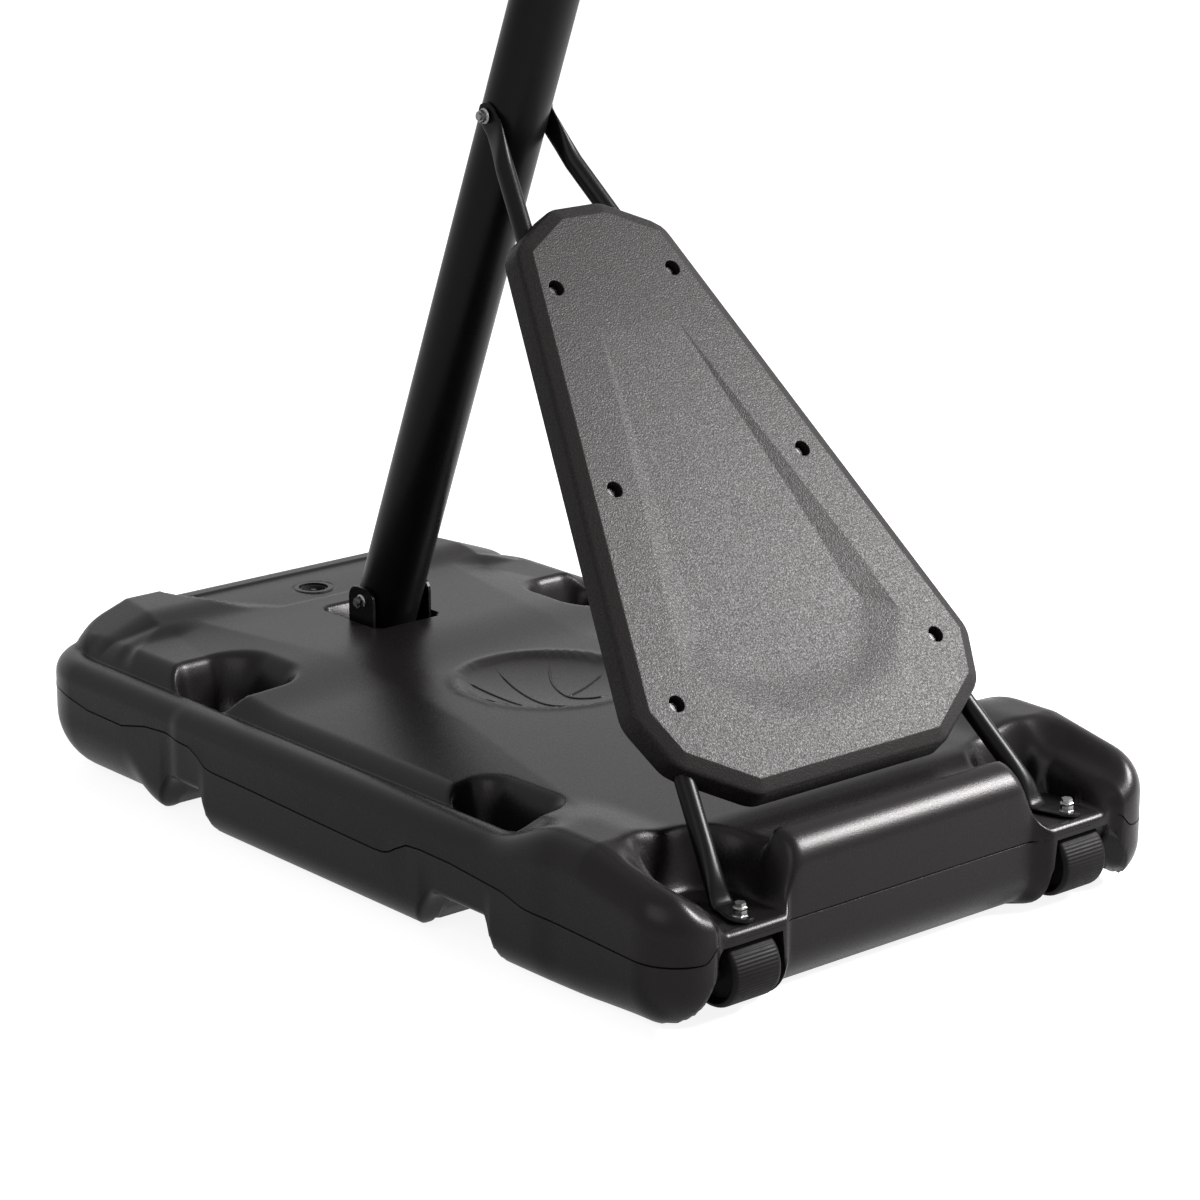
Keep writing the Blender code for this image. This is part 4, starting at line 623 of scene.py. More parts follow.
@dataclass
class BaseTank(Piece):
    """The blow-moulded water tank: one closed skin over a height field, its rolled edge, seam and underside."""

    half: float = 0.425
    back: float = 0.700
    nose: float = -0.676
    ledge_front: float = -0.665
    middle_front: float = -0.646
    ledge_start: Pair = (0.205, 0.232)
    nose_side: Pair = (0.332, 0.353)
    rear_corner: float = 0.120
    front_corner: float = 0.070
    inset: float = 0.042
    rail_top: float = 0.166
    rail_round: float = 0.026
    deck_half: float = 0.372
    deck_back: float = 0.690
    deck_corner: float = 0.070
    deck_top: float = 0.198
    deck_front_top: float = 0.187
    deck_step: Pair = (0.150, 0.340)
    rear_rise: float = 0.003
    rear_rise_span: Pair = (0.480, 0.640)
    nose_top: float = 0.199
    nose_round: float = 0.044
    facet_fall: float = 0.009
    facet_least: float = 0.02
    facet_end: Pair = (0.520, 0.560)
    pad_rise: float = 0.011
    pad_edge: float = 0.016
    pad_span: Pair = (0.530, 0.610)
    pad_slope: float = 0.36
    pad_front_share: float = 1.3
    pad_corner: Pair = (0.291, 0.552)
    pad_facing: Pair = (0.496, 0.868)
    recess: float = 0.0026
    recess_across: Pair = (0.30, 0.36)
    recess_rear: Pair = (0.312, 0.344)
    recess_front: Pair = (-0.415, -0.480)
    rail_slope: float = 0.05
    rail_flat: float = 0.034
    gutter: Pair = (0.036, 0.053)
    gutter_depth: float = 0.005
    deck_wall: Pair = (0.028, 0.020)
    deck_wall_span: Pair = (0.600, 0.660)
    deck_wall_power: float = 1.9
    nose_start: float = -0.505
    nose_slope: float = 0.20
    nose_span: Pair = (0.250, 0.350)
    front_span: Pair = (-0.310, -0.450)
    lip_top: float = 0.199
    lip_dip: float = 0.009
    lip_dip_span: Pair = (-0.500, -0.565)
    lip_span: Pair = (-0.603, -0.588)
    bay_wall: Pair = (0.040, 0.058)
    bay_wall_span: Pair = (0.260, 0.340)
    bay_round_span: Pair = (0.300, 0.345)
    bay_round_share: float = 0.75
    bay_soft: Pair = (-0.012, 0.034)
    ledge_round: float = 0.010
    big_round: float = 0.045
    bay_floor: float = 0.115
    grip_floor: float = 0.112
    well_floor: float = 0.152
    well_wall: Pair = (-0.001, 0.008)
    hold_wall: Pair = (0.026, 0.052)
    hold_fade: float = 0.050
    hold_brim: float = 0.008
    filler: Pair = (0.583, 0.028)
    filler_wall: float = 0.008
    filler_depth: float = 0.020
    tray_depth: float = 0.003
    tray_wall: float = 0.006
    seam_depth: float = 0.0016
    seam_room: Pair = (0.002, 0.006)
    seam_front: Pair = (-0.5, -0.6)
    seam_front_height: float = 0.098
    seam_ledge_height: float = 0.112
    foot_round: Spot = (0.048, 0.040, 0.014)
    foot_rear: Pair = (0.370, 0.470)
    foot_front: Pair = (-0.450, -0.620)
    notch_ceiling: float = 0.063
    notch_edge: float = 0.012
    notch_ends: Pair = (0.034, 0.075)
    notch_side: Pair = (0.185, 0.215)
    wheel_side: Pair = (0.228, 0.236)
    wheel_end: Pair = (-0.565, -0.555)
    bend_start: float = 0.430
    ball_centre: Pair = (0.0, 0.050)
    ball_radius: float = 0.120
    ball_depth: float = 0.014
    ball_rim: Spot = (0.0022, 0.007, 0.005)
    crease: Pairs = (
        (0.360, -0.536), (0.298, -0.367), (0.256, -0.219), (0.200, -0.024),
        (0.167, 0.180), (0.179, 0.309), (0.202, 0.427), (0.226, 0.543),
    )
    far_crease: Pairs = (
        (0.362, -0.600), (0.362, 0.250), (0.335, 0.334), (0.307, 0.392), (0.278, 0.508), (0.268, 0.600),
    )
    pad_inner: Pairs = ((0.535, 0.109), (0.586, 0.152), (0.640, 0.186), (0.667, 0.1935), (0.700, 0.198))
    pad_fold: Pairs = ((0.573, 0.283), (0.690, 0.262))
    tray: Pairs = (
        (-0.100, 0.531), (0.100, 0.531), (0.128, 0.569), (0.173, 0.620), (0.188, 0.653), (-0.188, 0.653),
        (-0.173, 0.620), (-0.128, 0.569),
    )
    well: Rounded = Rounded((-0.057, 0.057), (0.353, 0.490), (0.016,) * 4)
    holds: tuple[tuple[Rounded, float], ...] = (
        (Rounded((0.236, 0.371), (0.264, 0.424), (0.050, 0.030, 0.040, 0.060)), 0.300),
        (Rounded((0.292, 0.371), (-0.350, -0.187), (0.035, 0.030, 0.030, 0.038)), 0.330),
    )
    bay: Rounded = Rounded((0.197, 0.382), (-0.900, -0.503), (0.0, 0.0, 0.058, 0.078))
    wheel_arch: Pairs = (
        (0.330, 0.098), (0.345, 0.078), (0.358, 0.050), (0.368, 0.028), (0.380, 0.012), (0.395, 0.003), (0.410, 0.0),
    )
    notches: Pairs = ((-0.364, -0.165), (0.240, 0.404))
    upper_steps: tuple[float, ...] = (
        0.036, 0.030, 0.026, 0.022, 0.0185, 0.015, 0.012, 0.0092, 0.0068, 0.0047, 0.0030, 0.0016, 0.0006, 0.0,
    )
    lower_steps: tuple[float, ...] = (
        0.0, 0.0006, 0.0020, 0.0045, 0.0080, 0.0125, 0.0180, 0.0250, 0.0330, 0.0420,
    )
    seam_steps: Pairs = ((0.0040, 0.0), (0.0013, 0.25), (0.0, -1.0), (-0.0013, 0.25), (-0.0040, 0.0))
    columns: Pairs = (
        (0.0, 0.0050), (0.064, 0.0050), (0.070, 0.0090), (0.190, 0.0090), (0.200, 0.0042), (0.346, 0.0042),
        (0.353, 0.0013),
    )
    rows: Pairs = (
        (-0.500, 0.0040), (-0.490, 0.0080), (-0.370, 0.0080), (-0.360, 0.0042), (-0.180, 0.0042), (-0.170, 0.0062),
        (0.240, 0.0062), (0.250, 0.0040), (0.560, 0.0040), (0.575, 0.0019),
    )
    parting: Pairs = (
        (-0.640, 0.090), (-0.410, 0.098), (-0.370, 0.108), (-0.270, 0.116), (-0.209, 0.117), (-0.183, 0.115),
        (-0.162, 0.105), (-0.148, 0.097), (-0.135, 0.093), (-0.114, 0.092), (0.015, 0.0947), (0.161, 0.0986),
        (0.2365, 0.100), (0.254, 0.1025), (0.271, 0.114), (0.289, 0.122), (0.312, 0.123), (0.348, 0.127),
        (0.397, 0.123), (0.454, 0.110), (0.5385, 0.111), (0.604, 0.122),
    )

    def front_line(self, across: Array) -> Array:
        """Where the front outline runs: the noses stand out most, the wheel ledges less, the middle least.

        Args:
            across: Distance from the middle plane.

        Returns:
            The outline's y.
        """
        step = blend(np.full_like(across, self.middle_front), self.ledge_front, smooth(*self.ledge_start, across))
        return blend(step, self.nose, smooth(*self.nose_side, across))

    def arcs(self) -> tuple[float, float, float, float]:
        """Middles of the corner arcs: the rear one's x and y, then the front one's."""
        return (self.half - self.rear_corner, self.back - self.rear_corner,
                self.half - self.front_corner, self.nose + self.front_corner)

    def edge_distance(self, x: Array, y: Array) -> Array:
        """Distance in from the outline, arcs at the corners and straight between.

        Args:
            x: Across.
            y: Along.

        Returns:
            Distance in metres, 0 on the outline.
        """
        ax = np.abs(x)
        rear_x, rear_y, front_x, front_y = self.arcs()
        plain = np.minimum.reduce([self.half - ax, self.back - y, y - self.front_line(ax)])
        rear = self.rear_corner - np.hypot(ax - rear_x, y - rear_y)
        fore = self.front_corner - np.hypot(ax - front_x, y - front_y)
        plain = np.where((ax > rear_x) & (y > rear_y), rear, plain)
        return np.where((ax > front_x) & (y < front_y), fore, plain)

    def deck(self, x: Array, y: Array) -> Array:
        """Height of the deck before it meets its edges: a step along y, folded facets, pads, tray and dish.

        Args:
            x: Across.
            y: Along.

        Returns:
            Height in metres.
        """
        ax = np.abs(x)
        height = self.deck_front_top + (self.deck_top - self.deck_front_top) * smooth(*self.deck_step, y)
        height = height + self.rear_rise * smooth(*self.rear_rise_span, y)
        near = line_at(self.crease, y, True)
        far = np.maximum(line_at(self.far_crease, y, True), near + self.facet_least)
        fade = 1.0 - smooth(*self.facet_end, y)
        height = height - self.facet_fall * np.clip((ax - near) / (far - near), 0.0, 1.0) * fade
        inner = line_at(self.pad_inner, y)
        height = height + self.pad_rise * smooth(0.0, self.pad_edge, ax - inner) * smooth(*self.pad_span, y)
        fold = line_at(self.pad_fold, y)
        front = (ax - self.pad_corner[0]) * self.pad_facing[0] + (y - self.pad_corner[1]) * self.pad_facing[1]
        height = height - self.pad_slope * np.clip(np.minimum(ax - fold, front * self.pad_front_share), 0.0, None)
        height = height - self.tray_depth * smooth(0.0, self.tray_wall, convex(self.tray, x, y))
        rho = np.hypot(x - self.ball_centre[0], y - self.ball_centre[1])
        bowl = self.ball_depth * np.sqrt(np.clip(1.0 - (rho / self.ball_radius) ** 2, 0.0, 1.0)) ** 0.9
        rise, out, spread = self.ball_rim
        rim = rise * np.exp(-(((rho - self.ball_radius - out) / spread) ** 2))
        return height - np.where(rho < self.ball_radius, bowl, 0.0) + rim

    def pockets(self, x: Array, y: Array, height: Array) -> Array:
        """The pole well, the filler's seat and the four bean-shaped handholds, sunk into the given height.

        Args:
            x: Across.
            y: Along.
            height: Height of the deck there.

        Returns:
            Height with the pockets.
        """
        ax = np.abs(x)
        height = blend(height, self.well_floor, smooth(*self.well_wall, self.well(x, y)))
        ring = self.filler[1] - np.hypot(x, y - self.filler[0])
        height = height - self.filler_depth * smooth(0.0, self.filler_wall, ring)
        (outer, inner), brim = self.hold_wall, self.hold_brim
        for hold, middle in self.holds:
            soft = blend(np.full_like(ax, outer), inner, smooth(middle, middle - self.hold_fade, ax))
            share = np.clip((hold(ax, y) + brim) / (soft + brim), 0.0, 1.0)
            height = blend(height, self.grip_floor, smooth(0.0, 1.0, share))
        return height

    def top(self, x: Array, y: Array, e: Array) -> Array:
        """Upper surface: the deck stands on the rail; forward it rolls over the lip and noses and opens into bays.

        Args:
            x: Across.
            y: Along.
            e: Distance in from the outline.

        Returns:
            Height in metres.
        """
        ax = np.abs(x)
        rail = self.rail_top - self.rail_round * (1.0 - bulge(e, self.rail_round))
        rail = rail - self.rail_slope * np.clip(self.rail_flat - e, 0.0, None)
        rail = rail - self.gutter_depth * smooth(*self.gutter, e)
        plateau = Rounded((-self.deck_half, self.deck_half), (-2.0, self.deck_back),
                          (0.0, 0.0, self.deck_corner, self.deck_corner))
        level = self.deck(x, y)
        side, rear = self.deck_wall
        width = blend(np.full_like(ax, side), rear, smooth(*self.deck_wall_span, y))
        share = 1.0 - (1.0 - np.clip(plateau(x, y) / width, 0.0, 1.0)) ** self.deck_wall_power
        deck = self.pockets(x, y, rail + (level - rail) * share)
        nose = self.nose_top - self.nose_slope * np.clip(self.nose_start - y, 0.0, None)
        nose = nose - self.nose_round * (1.0 - bulge(e, self.nose_round))
        dip = level - self.lip_dip * smooth(*self.lip_dip_span, y)
        crest = blend(dip, self.lip_top, 1.0 - smooth(*self.lip_span, y))
        lip = crest - self.big_round * (1.0 - bulge(e, self.big_round))
        fore = blend(lip, nose, smooth(*self.nose_span, ax))
        height = blend(deck, fore, smooth(*self.front_span, y))
        depth = self.bay(ax, y)
        near, far = self.bay_wall
        wide = blend(np.full_like(ax, near), far, smooth(*self.bay_wall_span, ax))
        t = np.clip(depth / wide, 0.0, 1.0)
        round_wall = 1.0 - np.sqrt(1.0 - t * t)
        soft = smooth(*self.bay_soft, depth)
        share = blend(soft, round_wall, self.bay_round_share * smooth(*self.bay_round_span, ax))
        ledge = self.bay_floor - self.ledge_round * (1.0 - bulge(e, self.ledge_round))
        return blend(height, ledge, share)

    def surface(self, x: Array, y: Array) -> Array:
        """Height of the finished top at places well inside the outline."""
        return self.top(x, y, self.edge_distance(x, y))

    def bottom(self, x: Array, y: Array, e: Array) -> Array:
        """Underside: rolled edge, side notches between the feet and open wheel bays at the front.

        Each notch has a short steep end towards the front and a long easy one towards the rear.

        Args:
            x: Across.
            y: Along.
            e: Distance in from the outline.

        Returns:
            Height in metres.
        """
        ax = np.abs(x)
        sides, rear, front = self.foot_round
        round_off = sides + rear * smooth(*self.foot_rear, y) + front * smooth(*self.foot_front, y)
        base = round_off * (1.0 - bulge(e, round_off))
        steep, easy = self.notch_ends
        notch = np.maximum(*(smooth(low, low + steep, y) * smooth(high, high - easy, y) for low, high in self.notches))
        side = notch * smooth(*self.notch_side, ax)
        arch = self.notch_ceiling * side + self.notch_edge * side * (1.0 - bulge(e, self.notch_edge))
        wheel = line_at(self.wheel_arch, ax) * smooth(*self.wheel_side, ax) * (1.0 - smooth(*self.wheel_end, y))
        return np.maximum.reduce([base, arch, wheel])

    def seam(self, x: Array, y: Array) -> Array:
        """Height of the mould's parting line, which steps up over the notches and the wheel ledges.

        Args:
            x: Across.
            y: Along.

        Returns:
            Height in metres.
        """
        ax = np.abs(x)
        front = smooth(*self.seam_front, y)
        sides = blend(line_at(self.parting, y), self.seam_front_height, smooth(0.245, 0.200, ax) * front)
        ledge = smooth(0.205, 0.245, ax) * smooth(0.372, 0.335, ax)
        return blend(sides, self.seam_ledge_height, ledge * front)

    def lines(self) -> tuple[Array, Array]:
        """Chooses the nominal grid, finer where the surface turns sharply.

        Returns:
            Positions across and positions along.
        """
        half = self.half - self.inset
        across = graded((*self.columns, (half, 0.0016)), 0.0, half, 2)
        across = np.concatenate([-across[:0:-1], across])
        low = self.nose + self.front_corner - 0.028 * math.sin(math.pi / 4)
        high = self.back - self.rear_corner + 0.078 * math.sin(math.pi / 4)
        along = graded(((low, 0.0040), *self.rows, (high, 0.0019)), low, high, 4)
        return across, along

    def plan(self, across: Array, along: Array) -> Array:
        """Bends the nominal grid so that its border is the outline moved in by the inset.

        x = X * w(Y) / w0 with w the half-width of the row, and y = Y plus, near each end, the distance from the
        row's corner height to the border above or below that column.

        Args:
            across: Nominal columns.
            along: Nominal rows.

        Returns:
            (rows, columns, 2) places.
        """
        half = self.half - self.inset
        rear = self.rear_corner - self.inset
        fore = self.front_corner - self.inset
        rear_x, rear_y, front_x, front_y = self.arcs()
        width = np.full_like(along, half)
        high = along > rear_y
        width[high] = rear_x + np.sqrt(rear**2 - (along[high] - rear_y) ** 2)
        low = along < front_y
        width[low] = front_x + np.sqrt(fore**2 - (along[low] - front_y) ** 2)
        x = across[None, :] / half * width[:, None]
        top_x, low_x = np.abs(x[-1]), np.abs(x[0])
        top_y = rear_y + np.sqrt(np.clip(rear**2 - np.clip(top_x - rear_x, 0, None) ** 2, 0, None))
        bend = np.sqrt(np.clip(fore**2 - np.clip(low_x - front_x, 0, None) ** 2, 0, None))
        low_y = np.where(low_x > front_x, front_y - bend, self.front_line(low_x) + self.inset)
        rise = smooth(self.bend_start, along[-1], along)[:, None] * (top_y - along[-1])[None, :]
        fall = smooth(-self.bend_start, along[0], along)[:, None] * (low_y - along[0])[None, :]
        return np.stack([x, along[:, None] + rise + fall], axis=-1)

    def outward(self, border: Array) -> Array:
        """Directions in which the border grows to the outline: radial at the corners, square to the sides.

        Args:
            border: (n, 2) places round the grid.

        Returns:
            (n, 2) unit directions.
        """
        x, y = border.T
        sign, ax = np.sign(x), np.abs(x)
        rear_x, rear_y, front_x, front_y = self.arcs()
        way = np.zeros_like(border)
        side = ax > self.half - self.inset - 1e-6
        way[side, 0] = sign[side]
        rear = (ax >= rear_x) & (y >= rear_y)
        fore = (ax >= front_x) & (y <= front_y)
        for mask, cx, cy in ((rear, rear_x, rear_y), (fore, front_x, front_y)):
            spoke = np.stack([ax[mask] - cx, y[mask] - cy], axis=1)
            spoke /= np.linalg.norm(spoke, axis=1, keepdims=True)
            way[mask] = spoke * np.stack([sign[mask], np.ones(mask.sum())], axis=1)
        flat = ~(side | rear | fore)
        way[flat, 1] = np.where(y[flat] > 0, 1.0, -1.0)
        return way

    def drawn(self, border: Array) -> Array:
        """How far the outer wall stands back at the rear and nose stretches of the sides, against the middle one.

        Args:
            border: (n, 2) places round the grid.

        Returns:
            (n,) distances.
        """
        x, y = border.T
        ends = np.maximum(smooth(*self.recess_rear, y), smooth(*self.recess_front, y))
        return self.recess * ends * smooth(*self.recess_across, np.abs(x))

    def groove(self, place: Array, way: Array, high: Array, low: Array) -> list[Array]:
        """Rings of the outer wall between its two rounds, pinched into a thin groove along the parting line.

        Args:
            place: (n, 2) places on the wall.
            way: Their outward directions.
            high: Height of the upper round's foot at each.
            low: Height of the lower round's top at each.

        Returns:
            (n, 3) positions for each ring.
        """
        line = self.seam(place[:, 0], place[:, 1])
        least, span = self.seam_room
        room = np.clip((np.minimum(high - line, line - low) - least) / span, 0.0, 1.0)
        wall = []
        for offset, share in self.seam_steps:
            level = np.clip(line + offset, low + 0.0006 - offset * 0.05, high - 0.0006 - offset * 0.05)
            level = np.maximum(np.minimum(level, high - 0.0002), low + 0.0002)
            out = place + way * (self.seam_depth * share * room)[:, None]
            wall.append(np.column_stack([out, level]))
        return wall

    def build(self) -> bpy.types.Object:
        """Makes the skin: top grid, rolled edge, seam, lower edge, and a coarser floor grid.

        Returns:
            The tank.
        """
        plan = self.plan(*self.lines())
        skin = Skin()
        grid = skin.add(np.dstack([plan, self.surface(plan[..., 0], plan[..., 1])]))
        skin.faces.append(quads(grid, False))
        border = border_of(plan)
        way = self.outward(border)
        drawn = self.drawn(border)

        def ring(e: float, lift: Callable[[Array, Array, Array], Array]) -> Array:
            """The border moved out to a distance e in from the outline, on a surface."""
            place = border + way * (self.inset - e - drawn * (1.0 - e / self.inset))[:, None]
            return np.column_stack([place, lift(place[:, 0], place[:, 1], np.full(len(place), e))])

        upper = [ring(e, self.top) for e in self.upper_steps]
        lower = [ring(e, self.bottom) for e in self.lower_steps]
        wall = self.groove(border + way * (self.inset - drawn)[:, None], way, upper[-1][:, 2], lower[0][:, 2])
        rows = np.vstack([border_of(grid)[None], skin.add(np.stack(upper + wall + lower))])
        skin.faces.append(quads(rows[:, ::-1], True))

        coarse = plan[::4, ::4] * np.array((0.972, 0.982)) + np.array((0.0, 0.0004))
        x, y = coarse[..., 0], coarse[..., 1]
        floor = skin.add(np.dstack([coarse, self.bottom(x, y, self.edge_distance(x, y))]))
        skin.faces.append(quads(floor[:, ::-1], False))
        edge, last = border_of(floor), rows[-1]
        spans = [np.concatenate([np.take(last, range(4 * k, 4 * k + 5), mode="wrap")[::-1],
                                 edge[[k, (k + 1) % len(edge)]]]) for k in range(len(edge))]
        skin.faces.append(np.array([span[::-1] for span in spans]))
        return self.show(skin, "base_tank_skin", Slot.MOULDED, ["base_tank"], 60.0)


def curve_through(points: Sequence[Sequence[float]], count: int) -> Array:
    """Smooth curve through points: Catmull-Rom, 0.5 * (2b + (c - a)t + (2a - 5b + 4c - d)t^2 + (3b - 3c + d - a)t^3).

    Args:
        points: Places to pass through.
        count: Points of the result.

    Returns:
        (count, dimensions) positions evenly spread over the spans.
    """
    base = np.array(points, float)
    padded = np.vstack([2 * base[0] - base[1], base, 2 * base[-1] - base[-2]])
    at = np.linspace(0, len(base) - 1 - 1e-9, count)
    span = at.astype(int)
    t = (at - span)[:, None]
    a, b, c, d = (padded[span + k] for k in range(4))
    return 0.5 * (2 * b + (c - a) * t + (2 * a - 5 * b + 4 * c - d) * t**2 + (3 * b - 3 * c + d - a) * t**3)


@dataclass
class BallRelief(Piece):
    """Seam lines of the ball pressed into the deck's round dish."""

    tank: BaseTank
    radius: float = 0.0022
    sink: float = 0.0006
    count: int = 60
    seams: tuple[Pairs, ...] = (
        ((-0.080, 0.126), (-0.082, 0.053), (-0.085, -0.007)),
        ((-0.009, 0.154), (-0.040, 0.063), (-0.053, -0.006), (-0.039, -0.041), (-0.012, -0.064)),
        ((0.065, 0.127), (0.019, 0.065), (-0.005, 0.004), (0.009, -0.025), (0.033, -0.034)),
        ((-0.005, 0.004), (0.038, 0.019), (0.092, 0.044)),
        ((-0.113, 0.051), (-0.097, 0.014)),
    )

    def build(self) -> bpy.types.Object:
        """Makes the seams, half sunk in the dish.

        Returns:
            The seams as one object of separate closed ribs.
        """
        skin = Skin()
        step = np.arange(self.count)
        taper = self.radius * np.clip(np.minimum(step, step[::-1]) / 6.0, 0.35, 1.0)
        for seam in self.seams:
            line = curve_through(seam, self.count)
            path = np.column_stack([line, self.tank.surface(line[:, 0], line[:, 1]) - self.sink])
            skin.rings(sweep(path, taper, 10))
        return self.show(skin, "ball_seams", Slot.STEEL, [], 80.0)


@dataclass
class ShieldPanel(Piece):
    """The sloping pebble-grained panel on the struts: bevelled rim, a sunk middle field and six bolt cups."""

    origin: Spot = (0.0, -0.0866, 0.7594)
    tilt: float = math.radians(49.53)
    side_line: Pairs = ((0.036, -0.094), (0.107, -0.055), (0.265, 0.572), (0.243, 0.632), (0.153, 0.690))
    skirt: Pairs = (
        (0.0007, -0.00015), (0.0018, -0.0006), (0.0148, -0.0057), (0.0168, -0.0066), (0.0184, -0.0078),
        (0.0196, -0.0094), (0.0203, -0.0118), (0.0228, -0.0353), (0.0224, -0.0360), (0.0204, -0.0360),
        (0.0200, -0.0354), (0.0172, -0.0120), (0.0150, -0.0098), (0.0020, -0.0040),
    )
    turn: float = 0.004
    corner_radius: float = 0.002
    corner_growth: float = 1.9
    cup_start: float = 0.0981
    cup_slope: float = 0.2157
    cup_levels: tuple[float, ...] = (0.0, 0.2839, 0.5716)
    cup_edge: float = 0.0118
    cup_marks: tuple[float, ...] = (
        0.002, 0.004, 0.006, 0.0079, 0.0088, 0.0098, 0.0103, 0.0107, 0.01085, 0.0110, 0.0113, 0.0118, 0.0126, 0.0138,
    )
    block: float = 0.016
    row_marks: tuple[float, ...] = (
        -0.094, -0.0935, -0.093, -0.092, -0.090, -0.059, -0.057, -0.055, -0.053, -0.051, 0.070, 0.495, 0.531, 0.628,
        0.630, 0.632, 0.634, 0.636, 0.683, 0.686, 0.688, 0.689, 0.690,
    )
    row_step: float = 0.0055
    shares: tuple[tuple[float, ...], ...] = (
        (0.0, 0.14, 0.28, 0.42, 0.55, 0.67, 0.78, 0.87, 0.94, 0.98),
        (0.0, 0.06, 0.20, 0.40, 0.60, 0.80, 0.94),
        (0.0, 0.06, 0.20, 0.45, 0.72),
        (0.25, 0.48, 0.68, 0.83, 0.93, 1.0),
    )
    face_cup: Pairs = (
        (0.0088, -0.0148), (0.0098, -0.0146), (0.0103, -0.0138), (0.0107, -0.0016), (0.01085, -0.0008),
        (0.0110, -0.0004), (0.0113, -0.0001), (0.0118, 0.0),
    )
    back_cup: Pairs = (
        (0.0104, -0.0136), (0.0116, -0.0136), (0.0122, -0.0132), (0.0127, -0.0016), (0.0128, -0.0008),
        (0.0130, -0.0004), (0.0133, -0.0001), (0.0139, 0.0),
    )
    wall: float = 0.0032
    fold_outer: Pairs = (
        (0.070, 0.064), (0.160, 0.086), (0.245, 0.110), (0.320, 0.131), (0.425, 0.161), (0.495, 0.178),
        (0.530, 0.1855),
    )
    fold_inner: Pairs = (
        (0.070, 0.0625), (0.170, 0.080), (0.300, 0.1035), (0.400, 0.120), (0.470, 0.127), (0.495, 0.137),
        (0.530, 0.150),
    )
    fold_gap: float = 0.0015
    foot: Pairs = ((0.1855, 0.531), (0.142, 0.590), (0.088, 0.554), (0.138, 0.495))
    foot_rows: Pair = (0.495, 0.531)
    sink: float = 0.0060
    sink_start: float = 0.070
    sink_run: float = 0.425
    sink_end: Pair = (0.545, 0.660)

    def half_width(self, s: Array) -> Array:
        """Half-width of the flat face at a distance s down the slope, straight between the corners."""
        return line_at(self.side_line, s, True)

    def folds(self, s: Array) -> tuple[Array, Array]:
        """Distances of the inner and the outer fold from the middle line at a distance s down the slope."""
        outer = line_at(self.fold_outer, s)
        return np.minimum(line_at(self.fold_inner, s), outer - self.fold_gap), outer

    def knots(self) -> tuple[Array, Array]:
        """Chooses the grid's rows, finer at corners and cups.

        Returns:
            Row positions down the slope, and the offsets that ring each bolt cup.
        """
        ring = np.array((0.0, *self.cup_marks, self.block))
        ring = np.concatenate([-ring[:0:-1], ring])
        held = np.concatenate([*(level + ring for level in self.cup_levels), self.row_marks])
        held = np.unique(np.round(held, 6))
        rows = [held[:1]]
        for low, high in zip(held[:-1], held[1:]):
            steps = max(1, math.ceil((high - low) / self.row_step))
            rows.append(np.linspace(low, high, steps + 1)[1:])
        return np.concatenate(rows), ring

    def grid(self, spread: float) -> tuple[Array, Array, Array]:
        """Grid of the face with lines along the folds and circles round the cups.

        Around each cup the square ring of size m becomes the circle of radius m, and eases back to the square
        mesh at the block's border.

        Args:
            spread: Factor on the circles, above 1 for the outside of a cup.

        Returns:
            Across, down, and the distance from the nearest cup's middle.
        """
        rows, ring = self.knots()
        held = np.clip(rows, -self.block, self.cup_levels[-1] + self.block)
        line = self.cup_start + self.cup_slope * held
        full = self.half_width(held)
        inner, outer = self.folds(held)
        spans = ((np.zeros_like(held), inner), (inner, outer), (outer, line - self.block), (line + self.block, full))
        parts = [low[:, None] + (high - low)[:, None] * np.array(share)
                 for (low, high), share in zip(spans, self.shares)]
        parts.insert(3, line[:, None] + ring)
        half = np.hstack(parts) * (self.half_width(rows) / full)[:, None]
        down = np.broadcast_to(rows[:, None], half.shape)
        away = np.full(half.shape, 1.0)
        for level in self.cup_levels:
            u = half - (self.cup_start + self.cup_slope * down)
            v = down - level
            size = np.maximum(np.abs(u), np.abs(v))
            near = size < self.block - 1e-7
            length = np.maximum(np.hypot(u, v), 1e-9)
            ease = smooth(self.cup_edge, self.block, size)
            radius = size * blend(np.full_like(size, spread), 1.0, ease)
            centre = self.cup_start + self.cup_slope * level
            half = np.where(near, blend(centre + u / length * radius, half, ease), half)
            down = np.where(near, blend(level + v / length * radius, down, ease), down)
            away = np.where(near, radius, away)
        return (np.hstack([-half[:, :0:-1], half]), np.hstack([down[:, :0:-1], down]),
                np.hstack([away[:, :0:-1], away]))

    def relief(self, x: Array, s: Array) -> Array:
        """Height of the face: the middle field lies lower, reached over one straight facet and one foot a side.

        The facets fall evenly from the outer fold to the inner one; the feet are planes between the same levels;
        below them the field rises back to the face.

        Args:
            x: Across.
            s: Down the slope.

        Returns:
            Height over the face, 0 or less.
        """
        ax = np.abs(x)
        inner, outer = self.folds(s)
        depth = self.sink * np.clip((s - self.sink_start) / self.sink_run, 0.0, 1.0)
        fall = np.clip((outer - ax) / (outer - inner), 0.0, 1.0)
        corner, low, _, top = (np.array(p) for p in self.foot)
        edge = low - corner
        across = np.array((-edge[1], edge[0])) / np.linalg.norm(edge)
        reach = abs((top - corner) @ across)
        distance = ((ax - corner[0]) * across[0] + (s - corner[1]) * across[1]) * np.sign((top - corner) @ across)
        under = np.clip(distance / reach, 0.0, 1.0)
        start, end = self.foot_rows
        share = np.where(s < end, np.minimum(fall, np.where(s > start, under, 1.0)), under)
        return -depth * share * (1.0 - smooth(*self.sink_end, s))

